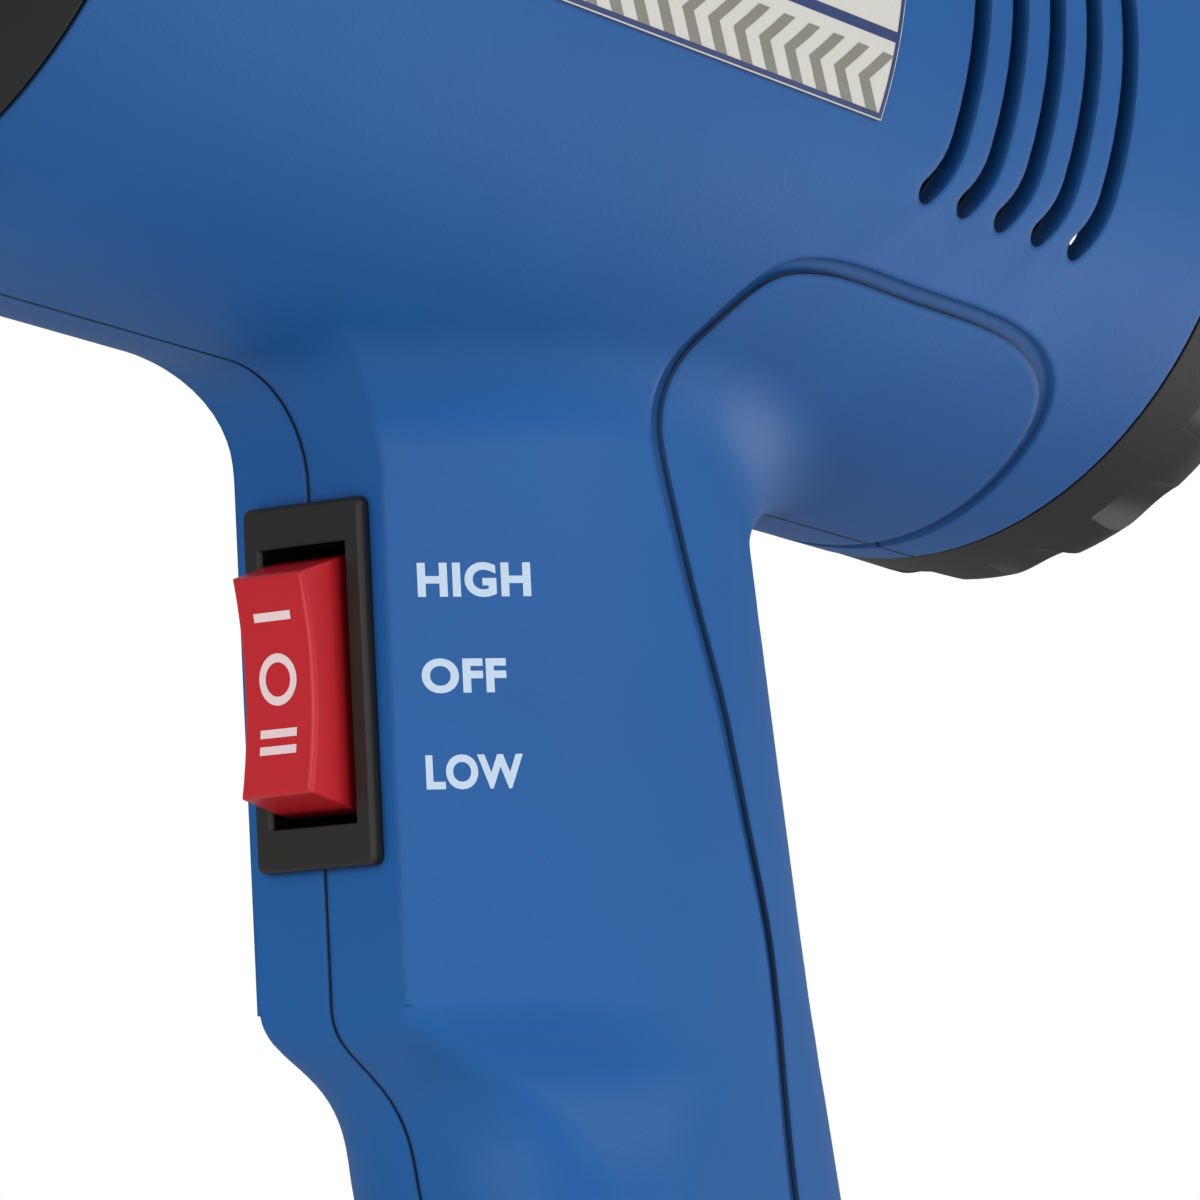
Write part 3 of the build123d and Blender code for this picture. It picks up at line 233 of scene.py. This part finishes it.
def moulded_plastic(name, colour, dark_colour, roughness, grain_mm, grain_depth_mm, flow_mm=35.0, ior=1.54,
                    corner_mm=0.3):
    """Plastic with the grain of its mould, the faint clouds that the melt leaves, softened corners and
    painted shade in its crevices.
    """
    material, tree, shader, position = start_material(name, Roughness=roughness, IOR=ior,
                                                      Specular_IOR_Level=0.3)
    flow = add_node(tree, "ShaderNodeTexNoise", {"Scale": 1 / (flow_mm * MM), "Detail": 3.0},
                    {"Vector": position})
    grain = add_node(tree, "ShaderNodeTexNoise",
                     {"Scale": 1 / (grain_mm * MM), "Detail": 2.0, "Roughness": 0.6}, {"Vector": position})
    cloud = add_node(tree, "ShaderNodeMapRange",
                     {"From Min": 0.3, "From Max": 0.7, "To Min": 0.0, "To Max": 0.7},
                     {"Value": flow.outputs["Fac"]})
    speck = add_node(tree, "ShaderNodeMath", {1: 0.3}, {0: grain.outputs["Fac"]}, operation="MULTIPLY")
    share = add_node(tree, "ShaderNodeMath", None, {0: cloud.outputs["Result"], 1: speck.outputs[0]},
                     operation="ADD")
    tint = add_node(tree, "ShaderNodeMix", {"A": linear(colour), "B": linear(dark_colour)},
                    {"Factor": share.outputs[0]}, data_type="RGBA")
    corner = add_node(tree, "ShaderNodeBevel", {"Radius": corner_mm * MM}, samples=4)
    bump = add_node(tree, "ShaderNodeBump", {"Strength": 0.6, "Distance": grain_depth_mm * MM},
                    {"Height": grain.outputs["Fac"], "Normal": corner.outputs["Normal"]})
    # Painted shade: occlusion darkens the colour in vents, slots, grooves and the parting line.
    open_air = add_node(tree, "ShaderNodeAmbientOcclusion", {"Distance": CREVICE_SHADE_REACH}, samples=6)
    openness = add_node(tree, "ShaderNodeMapRange", {"From Min": 0.3, "From Max": 0.8},
                        {"Value": open_air.outputs["AO"]})
    painted_crevice_shade = [c * CREVICE_SHADE_SHARE for c in linear(dark_colour)[:3]] + [1.0]
    shaded = add_node(tree, "ShaderNodeMix", {"A": painted_crevice_shade},
                      {"B": tint.outputs["Result"], "Factor": openness.outputs["Result"]}, data_type="RGBA")
    tree.links.new(shaded.outputs["Result"], shader.inputs["Base Color"])
    tree.links.new(bump.outputs["Normal"], shader.inputs["Normal"])
    print(name, colour)
    return material


blue_abs = moulded_plastic("blue_abs_spark_eroded", "#165FA4", "#12569A", 0.5, 0.4, 0.03, corner_mm=0.8)
black_nylon = moulded_plastic("black_glass_filled_nylon", "#1F1E1C", "#181716", 0.5, 0.5, 0.03)
bezel_nylon = moulded_plastic("black_switch_nylon", "#2B2927", "#242220", 0.42, 0.3, 0.012)
red_polycarbonate = moulded_plastic("red_polycarbonate", "#CE242C", "#C21E26", 0.3, 0.3, 0.006, ior=1.58)
dark_inner_plastic = moulded_plastic("black_phenolic_inner", "#2C2C2E", "#242426", 0.55, 0.5, 0.02)
black_rubber = moulded_plastic("black_rubber_moulded", "#1D1D1D", "#171717", 0.65, 0.4, 0.02, ior=1.52)

# %% [markdown]
# ## Metals
# Drawn steel has fine lines along the draw, turned brass has rings, and plated parts have a soft, slightly
# uneven shine. All of these are one recipe: noise that is stretched along a direction, which drives the
# roughness and a very shallow bump. Only the stretch, the colour and the roughness change.

# %% Metal
SMUDGE_SIZE = 12 * MM


def worked_metal(name, colour, roughness, stretch, line_mm, depth_mm=0.004):
    """Metal with fine working marks. The marks are long along the axes where stretch is above 1."""
    material, tree, shader, position = start_material(name, Metallic=1.0)
    squeeze = [1 / s for s in stretch]
    marks_at = add_node(tree, "ShaderNodeMapping", {"Scale": squeeze}, {"Vector": position})
    marks = add_node(tree, "ShaderNodeTexNoise", {"Scale": 1 / (line_mm * MM), "Detail": 3.0},
                     {"Vector": marks_at.outputs["Vector"]})
    smudge = add_node(tree, "ShaderNodeTexNoise", {"Scale": 1 / SMUDGE_SIZE, "Detail": 2.0},
                      {"Vector": position})
    worn = add_node(tree, "ShaderNodeMath", {1: 0.5}, {0: marks.outputs["Fac"], 1: smudge.outputs["Fac"]},
                    operation="ADD")
    shine = {"From Min": 0.7, "From Max": 1.3, "To Min": roughness - 0.07, "To Max": roughness + 0.09}
    rough = add_node(tree, "ShaderNodeMapRange", shine, {"Value": worn.outputs[0]})
    darker = [c * 0.82 for c in linear(colour)[:3]] + [1]
    tint = add_node(tree, "ShaderNodeMix", {"A": linear(colour), "B": darker},
                    {"Factor": marks.outputs["Fac"]}, data_type="RGBA")
    bump = add_node(tree, "ShaderNodeBump", {"Strength": 0.5, "Distance": depth_mm * MM},
                    {"Height": marks.outputs["Fac"]})
    tree.links.new(tint.outputs["Result"], shader.inputs["Base Color"])
    tree.links.new(rough.outputs["Result"], shader.inputs["Roughness"])
    tree.links.new(bump.outputs["Normal"], shader.inputs["Normal"])
    print(name, colour)
    return material


ALONG_BARREL = (60.0, 1.0, 1.0)
EVEN = (1.0, 1.0, 1.0)
drawn_stainless = worked_metal("stainless_steel_drawn_tube", "#CFCBC4", 0.27, ALONG_BARREL, 0.25)
zinc_plated = worked_metal("steel_zinc_plated", "#C9CACB", 0.34, EVEN, 1.2)
motor_steel = worked_metal("steel_nickel_plated_pressed", "#B9BABC", 0.32, EVEN, 2.0)
laminations = worked_metal("electrical_steel_laminated", "#8F9093", 0.45, (0.02, 1.0, 1.0), 20.0)
copper = worked_metal("copper_turned", "#D8895A", 0.3, (0.2, 3.0, 3.0), 0.5)
enamelled_copper = worked_metal("copper_enamelled_wound", "#B4562A", 0.28, (1.0, 8.0, 8.0), 1.0)
bronze = worked_metal("bronze_sintered", "#A67C48", 0.5, EVEN, 0.4)
heater_alloy = worked_metal("nickel_chrome_wire_drawn", "#8C827A", 0.42, EVEN, 0.6)

# %% [markdown]
# ## Mica, ceramic, carbon and the circuit board
# These sit inside the gun and show only through the nozzle, the vents and the grille. They are matt and
# speckled, so one recipe of two colours mixed by a noise is enough: pale flakes for the pressed mica, fine
# grey grain for the fired base, near black for the brushes and the magnets.

# %% Speckled mineral and sleeve materials
def speckled(name, colour, speck_colour, speck_mm, roughness, depth_mm=0.02):
    """Matt material of fine specks in a plain ground."""
    material, tree, shader, position = start_material(name, Roughness=roughness)
    specks = add_node(tree, "ShaderNodeTexVoronoi", {"Scale": 1 / (speck_mm * MM)}, {"Vector": position})
    tint = add_node(tree, "ShaderNodeMix", {"A": linear(colour), "B": linear(speck_colour)},
                    {"Factor": specks.outputs["Distance"]}, data_type="RGBA")
    bump = add_node(tree, "ShaderNodeBump", {"Strength": 0.5, "Distance": depth_mm * MM},
                    {"Height": specks.outputs["Distance"]})
    tree.links.new(tint.outputs["Result"], shader.inputs["Base Color"])
    tree.links.new(bump.outputs["Normal"], shader.inputs["Normal"])
    print(name, colour)
    return material


mica = speckled("mica_pressed_sheet", "#A89468", "#D2C49C", 1.5, 0.35)
fired_ceramic = speckled("steatite_fired", "#E2DCCB", "#CFC7B4", 0.6, 0.6)
carbon = speckled("carbon_brush_pressed", "#1A1A1B", "#2C2C2E", 0.5, 0.5)
ferrite = speckled("ferrite_sintered", "#2A2A2C", "#3A3A3D", 0.6, 0.6)
circuit_board = speckled("glass_epoxy_board", "#1C5B33", "#2B7A48", 1.0, 0.4)
glass_sleeve = speckled("glass_fibre_sleeve_woven", "#D8D3C4", "#BDB7A6", 0.5, 0.7)

# %% [markdown]
# ## Give the CAD pieces their finishes
# Each piece of the frame is named for what it is, so a small table of names is all we need. A piece keeps its
# own normals from the CAD model, which already shade its round faces smoothly.

# %% Assign the finishes
FINISHES = {
    blue_abs: ("housing_left", "housing_right"),
    black_nylon: ("front_collar", "rear_cap"),
    bezel_nylon: ("switch_body", "rectifier_diodes"),
    red_polycarbonate: ("rocker",),
    black_rubber: ("cord_inlet_bush",),
    dark_inner_plastic: ("air_guide", "fan_shroud", "fan_impeller", "motor_end_bell", "cord_clamp"),
    drawn_stainless: ("nozzle_tube",),
    zinc_plated: ("housing_screws", "motor_screws", "clamp_screws", "nozzle_flange", "thermal_cutoff"),
    motor_steel: ("motor_can", "rotor_shaft"),
    laminations: ("armature_core",),
    copper: ("commutator", "switch_terminals"),
    enamelled_copper: ("rotor_winding",),
    bronze: ("motor_bushings",),
    heater_alloy: ("heater_coil",),
    mica: ("mica_tube", "heater_former"),
    fired_ceramic: ("heater_base",),
    carbon: ("motor_brushes",),
    ferrite: ("motor_magnets",),
    circuit_board: ("rectifier_board",),
    glass_sleeve: ("heater_leads", "motor_leads"),
}
for material, names in FINISHES.items():
    for name in names:
        for slot in nodes[name].material_slots:
            slot.material = material
print("finished", sum(len(names) for names in FINISHES.values()), "of", len(nodes), "pieces")

# %% [markdown]
# ## Printed films and inks
# The label is a white film with a satin coat, and the inks are thin layers of flat colour with a slightly
# uneven edge to their gloss. The floor gets a plain pale paint.

# %% Inks, film and floor
def printed(name, colour, roughness, mottle=0.05):
    """Flat ink or film whose gloss and tone vary a little, as screen printing does."""
    material, tree, shader, position = start_material(name, IOR=1.5)
    noise = add_node(tree, "ShaderNodeTexNoise", {"Scale": 1 / (0.5 * MM), "Detail": 2.0},
                     {"Vector": position})
    darker = [c * (1 - mottle * 2) for c in linear(colour)[:3]] + [1.0]
    tint = add_node(tree, "ShaderNodeMix", {"A": linear(colour), "B": darker},
                    {"Factor": noise.outputs["Fac"]}, data_type="RGBA")
    rough = add_node(tree, "ShaderNodeMapRange", {"To Min": roughness - 0.05, "To Max": roughness + 0.05},
                     {"Value": noise.outputs["Fac"]})
    tree.links.new(tint.outputs["Result"], shader.inputs["Base Color"])
    tree.links.new(rough.outputs["Result"], shader.inputs["Roughness"])
    print(name, colour)
    return material


label_film = printed("label_film_satin", "#DEDBD3", 0.42)
navy_ink = printed("navy_ink", "#2A3E70", 0.4)
grey_ink = printed("warm_grey_ink", "#8B887F", 0.45)
pale_blue_ink = printed("pale_blue_ink", "#C9DDF2", 0.5)
pink_ink = printed("white_ink_on_red", "#FFE0E0", 0.4)
floor.data.materials.append(printed("studio_floor_paint", "#F4F4F2", 0.8, 0.01))
for slot in nodes["side_label"].material_slots:
    slot.material = label_film

# %% [markdown]
# ## Draping ink onto the gun
# All the print on this gun is drawn flat first and then dropped onto the surface below it, like a transfer.
# Every vertex is thrown along a direction at one CAD piece and stops a few hundredths of a millimetre short
# of it. That way the ink follows the barrel's taper and the rocker's hollow face without any extra sums.

# %% Helpers for print
INK_LIFT = 0.03 * MM


def surface_of(node_name):
    """Search tree of a CAD piece's surface at rest."""
    node = nodes[node_name]
    points = [node.matrix_world @ v.co for v in node.data.vertices]
    return BVHTree.FromPolygons(points, [list(p.vertices) for p in node.data.polygons])


def drape(mesh, surface, direction_at, lift=INK_LIFT):
    """Throws each vertex of a mesh onto a surface, along the direction that direction_at gives for it."""
    for vertex in mesh.vertices:
        hit, normal, _, distance = surface.ray_cast(vertex.co, direction_at(vertex.co))
        if hit is None:
            raise ValueError(f"{mesh.name}: a vertex misses the surface")
        vertex.co = hit + normal * lift


def new_piece(name, mesh, material, body):
    """Links a finished mesh as a piece that rides on a body."""
    mesh.materials.clear()
    mesh.materials.append(material)
    piece = bpy.data.objects.new(name, mesh)
    bpy.context.scene.collection.objects.link(piece)
    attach(piece, body)
    print(name, "-", len(mesh.polygons), "faces")


def strip_mesh(name, bands):
    """Flat mesh of bands in the XY plane. A band is a list of (left, right) point pairs, in millimetres."""
    points, faces = [], []
    for band in bands:
        first = len(points)
        for pair in band:
            points += [(x * MM, y * MM, 0.0) for x, y in pair]
        faces += [(first + 2 * i, first + 2 * i + 1, first + 2 * i + 3, first + 2 * i + 2)
                  for i in range(len(band) - 1)]
    mesh = bpy.data.meshes.new(name)
    mesh.from_pydata(points, [], faces)
    return mesh


# %% [markdown]
# ## Repeating a shape with Geometry Nodes
# The label has two rows of arrowheads. We draw one and let Geometry Nodes repeat it: a line of points, one
# instance on each, then Realize Instances and Set Material, so that the row is a real mesh with its ink. The
# result is baked and the modifier taken off again, because the next step drapes the vertices themselves.

# %% Row of copies
def repeat_group():
    """Node group that repeats its geometry along X."""
    tree = bpy.data.node_groups.new("repeat_along_x", "GeometryNodeTree")
    for name, kind in (("Geometry", "NodeSocketGeometry"), ("Count", "NodeSocketInt"),
                       ("Pitch", "NodeSocketFloat"), ("Ink", "NodeSocketMaterial")):
        tree.interface.new_socket(name, in_out="INPUT", socket_type=kind)
    tree.interface.new_socket("Geometry", in_out="OUTPUT", socket_type="NodeSocketGeometry")
    given = tree.nodes.new("NodeGroupInput").outputs
    step = add_node(tree, "ShaderNodeCombineXYZ", None, {"X": given["Pitch"]})
    line = add_node(tree, "GeometryNodeMeshLine", None, {"Count": given["Count"], "Offset": step.outputs[0]},
                    mode="OFFSET")
    copies = add_node(tree, "GeometryNodeInstanceOnPoints", None,
                      {"Points": line.outputs["Mesh"], "Instance": given["Geometry"]})
    real = add_node(tree, "GeometryNodeRealizeInstances", None, {"Geometry": copies.outputs["Instances"]})
    inked = add_node(tree, "GeometryNodeSetMaterial", None, {"Geometry": real.outputs["Geometry"],
                                                             "Material": given["Ink"]})
    add_node(tree, "NodeGroupOutput", None, {"Geometry": inked.outputs["Geometry"]})
    return tree


def baked_row(group, mesh, count, pitch_mm, ink):
    """Mesh of a row of copies of a flat mesh, baked from the node group."""
    carrier = bpy.data.objects.new("row_carrier", mesh)
    bpy.context.scene.collection.objects.link(carrier)
    repeat = carrier.modifiers.new("repeat", "NODES")
    repeat.node_group = group
    values = {"Count": count, "Pitch": pitch_mm * MM, "Ink": ink}
    for item in group.interface.items_tree:
        if item.name in values:
            repeat[item.identifier] = values[item.name]
    bpy.context.view_layer.update()
    row = bpy.data.meshes.new_from_object(carrier.evaluated_get(bpy.context.evaluated_depsgraph_get()))
    bpy.data.objects.remove(carrier)
    return row


arrow_group = repeat_group()

# %% [markdown]
# ## The side label
# The label is drawn flat: X runs back from the collar's seam, and Y is the height round the barrel, measured
# along its surface from the level of the axis. It has a thin navy frame, a row of arrowheads along the bottom
# and a mirrored one along the top, each fenced off by a navy line. Between them sits a plain warm-air sign,
# three rising wavy strokes over a bar.

# %% Label print
LABEL_FRONT, LABEL_REAR = 14.0, 87.6
BARREL_MEAN_R = 37.5
LABEL_BOTTOM, LABEL_TOP = -12.15, 21.5
FRAME_W = 0.45
ARROW_PITCH = 3.27
ARROW_W = 1.45
ARROW_LAST = 83.3
ROW_H = 5.0
EDGE_MARGIN = 0.1
ROW_GAP = 1.25
ROW_LINE_W = 0.9
THROW_R = 50 * MM

label_surface = surface_of("side_label")


def onto_barrel(mesh):
    """Bends a flat label drawing round the barrel and drapes it onto the label."""
    for vertex in mesh.vertices:
        x, around, _ = vertex.co
        angle = around / (BARREL_MEAN_R * MM)
        vertex.co = (front_seam_x + x, -THROW_R * cos(angle), THROW_R * sin(angle))
    drape(mesh, label_surface, lambda p: Vector((0, -p.y, -p.z)).normalized())


def upright_band(x0, x1, y0, y1, steps=16):
    """Band with straight sides, cut into steps up its height."""
    return [((x0, y0 + (y1 - y0) * i / steps), (x1, y0 + (y1 - y0) * i / steps)) for i in range(steps + 1)]


front, rear = LABEL_FRONT + EDGE_MARGIN, LABEL_REAR - EDGE_MARGIN
bottom, top = LABEL_BOTTOM + EDGE_MARGIN, LABEL_TOP - EDGE_MARGIN
row_line = LABEL_BOTTOM + FRAME_W + ROW_H + ROW_GAP
high_line = top + bottom - row_line
inner_front, inner_rear = front + FRAME_W, rear - FRAME_W
navy_bands = [
    upright_band(front, inner_front, bottom, top),
    upright_band(inner_rear, rear, bottom, top),
    upright_band(inner_front, inner_rear, bottom, bottom + FRAME_W, 1),
    upright_band(inner_front, inner_rear, top - FRAME_W, top, 1),
    upright_band(inner_front, inner_rear, row_line, row_line + ROW_LINE_W, 1),
    upright_band(inner_front, inner_rear, high_line - ROW_LINE_W, high_line, 1),
]
navy_mesh = strip_mesh("label_frame_print", navy_bands)
onto_barrel(navy_mesh)
new_piece("label_frame_print", navy_mesh, navy_ink, "gun")

for base, flip in ((bottom + FRAME_W, 1), (top - FRAME_W, -1)):
    # One arrowhead that points forward: its lower arm, its tip and its upper arm.
    edge = [(2.05, 0.0), (1.0, 1.22), (0.0, 2.45), (1.2, 3.7), (2.4, ROW_H)]
    pairs = [((x, y), (x + ARROW_W, y)) for x, y in edge]
    count = int((ARROW_LAST - LABEL_FRONT - FRAME_W) / ARROW_PITCH)
    arrow = strip_mesh("arrow", [pairs])
    row = baked_row(arrow_group, arrow, count, ARROW_PITCH, grey_ink)
    first = ARROW_LAST - (count - 1) * ARROW_PITCH
    for vertex in row.vertices:
        vertex.co = (vertex.co.x + first * MM, base * MM + flip * vertex.co.y, 0.0)
    if flip < 0:
        row.flip_normals()
    onto_barrel(row)
    row.name = "label_arrows_low" if flip > 0 else "label_arrows_high"
    new_piece(row.name, row, grey_ink, "gun")

# %% [markdown]
# The warm-air sign is three strokes that sway from side to side as they rise, with a short bar under each.

# %% Warm-air sign
SIGN_X = 50.0
SIGN_LOW, SIGN_HIGH = 0.5, 11.0
STROKE_PITCH = 6.0
STROKE_STEPS = 24
STROKE_LIFT = 2.2
STROKE_SWAY = 0.9
STROKE_HALF = 0.75
BASE_HALF = 2.2
sign_bands = []
for i in (-1, 0, 1):
    middle = SIGN_X + i * STROKE_PITCH
    stroke = []
    for step in range(STROKE_STEPS + 1):
        height = SIGN_LOW + STROKE_LIFT + (SIGN_HIGH - SIGN_LOW - STROKE_LIFT) * step / STROKE_STEPS
        sway = STROKE_SWAY * sin(2 * pi * step / STROKE_STEPS)
        half = STROKE_HALF * (1 - 0.35 * step / STROKE_STEPS)
        stroke.append(((middle + sway - half, height), (middle + sway + half, height)))
    sign_bands.append(stroke)
    sign_bands.append(upright_band(middle - BASE_HALF, middle + BASE_HALF, SIGN_LOW - 0.2, SIGN_LOW + 1.0, 2))
sign_mesh = strip_mesh("label_warm_air_sign", sign_bands)
onto_barrel(sign_mesh)
new_piece("label_warm_air_sign", sign_mesh, navy_ink, "gun")

# %% [markdown]
# ## The words beside the switch
# HIGH, OFF and LOW stand on the left side of the switch pad, level with the three places of the rocker. The
# letters are a plain bold sans serif, so we thicken the built-in typeface a little, turn it into a mesh and
# drape it square to the pad's flaring side.

# %% Switch words
WORD_START = 2.75
WORDS = {"HIGH": (6.75, 10.6), "OFF": (-1.35, 7.9), "LOW": (-9.45, 9.1)}
WORD_HEIGHT = 2.95
WORD_BOLDNESS = 0.04
WORD_SPACING = 1.08
WORD_THROW = 12 * MM

side_back = panel_in * cos(PAD_FLARE) + left * sin(PAD_FLARE)
side_out = left * cos(PAD_FLARE) - panel_in * sin(PAD_FLARE)
pad_corner = switch_centre + left * PAD_HALF_WIDTH
housing_surface = surface_of("housing_left")


def word_mesh(word, height_mm, width_mm):
    """Flat mesh of a word, sized to a cap height and a length, with its corner at the origin."""
    curve = bpy.data.curves.new(word, "FONT")
    curve.body = word
    curve.offset = WORD_BOLDNESS
    curve.space_character = WORD_SPACING
    curve.resolution_u = 6
    carrier = bpy.data.objects.new(word, curve)
    bpy.context.scene.collection.objects.link(carrier)
    bpy.context.view_layer.update()
    mesh = bpy.data.meshes.new_from_object(carrier.evaluated_get(bpy.context.evaluated_depsgraph_get()))
    bpy.data.objects.remove(carrier)
    low = [min(v.co[i] for v in mesh.vertices) for i in (0, 1)]
    high = [max(v.co[i] for v in mesh.vertices) for i in (0, 1)]
    for vertex in mesh.vertices:
        x = (vertex.co.x - low[0]) / (high[0] - low[0]) * width_mm * MM
        y = (vertex.co.y - low[1]) / (high[1] - low[1]) * height_mm * MM
        vertex.co = (x, y, 0.0)
    return mesh


for word, (baseline, width) in WORDS.items():
    mesh = word_mesh(word, WORD_HEIGHT, width)
    for vertex in mesh.vertices:
        x, y, _ = vertex.co
        vertex.co = (pad_corner + side_back * (WORD_START * MM + x) + panel_up * (baseline * MM + y)
                     + side_out * WORD_THROW)
    drape(mesh, housing_surface, lambda p: -side_out)
    new_piece(f"print_{word.lower()}", mesh, pale_blue_ink, "gun")

# %% [markdown]
# ## The signs on the rocker
# One bar for high, a ring for off and two bars for low. They are drawn in the panel's plane, X to the
# right and Y up as one looks at it, and thrown onto the rocker's hollow face.

# %% Rocker signs
def flat_bar(x0, x1, y0, y1, steps=8):
    """Band from side to side, cut into steps along its length."""
    return [((x0 + (x1 - x0) * i / steps, y1), (x0 + (x1 - x0) * i / steps, y0)) for i in range(steps + 1)]


BAR_HALF = 2.15
RING_R = 2.2
RING_STROKE = 0.75
RING_UP = 0.5
RING_STEPS = 48
ROCKER_THROW = 15 * MM
ring_hole = RING_R - RING_STROKE
ring_angles = [2 * pi * i / RING_STEPS for i in range(RING_STEPS + 1)]
ring = [((ring_hole * cos(a), RING_UP + ring_hole * sin(a)), (RING_R * cos(a), RING_UP + RING_R * sin(a)))
        for a in ring_angles]
rocker_bands = [
    flat_bar(-BAR_HALF, BAR_HALF, 5.43, 6.18),
    ring,
    flat_bar(-BAR_HALF, BAR_HALF, -4.39, -3.67),
    flat_bar(-BAR_HALF, BAR_HALF, -5.81, -5.09),
]
rocker_mesh = strip_mesh("rocker_signs", rocker_bands)
for vertex in rocker_mesh.vertices:
    x, y, _ = vertex.co
    vertex.co = switch_centre + left * x + panel_up * y - panel_in * ROCKER_THROW
drape(rocker_mesh, surface_of("rocker"), lambda p: panel_in)
new_piece("rocker_signs", rocker_mesh, pink_ink, "rocker")
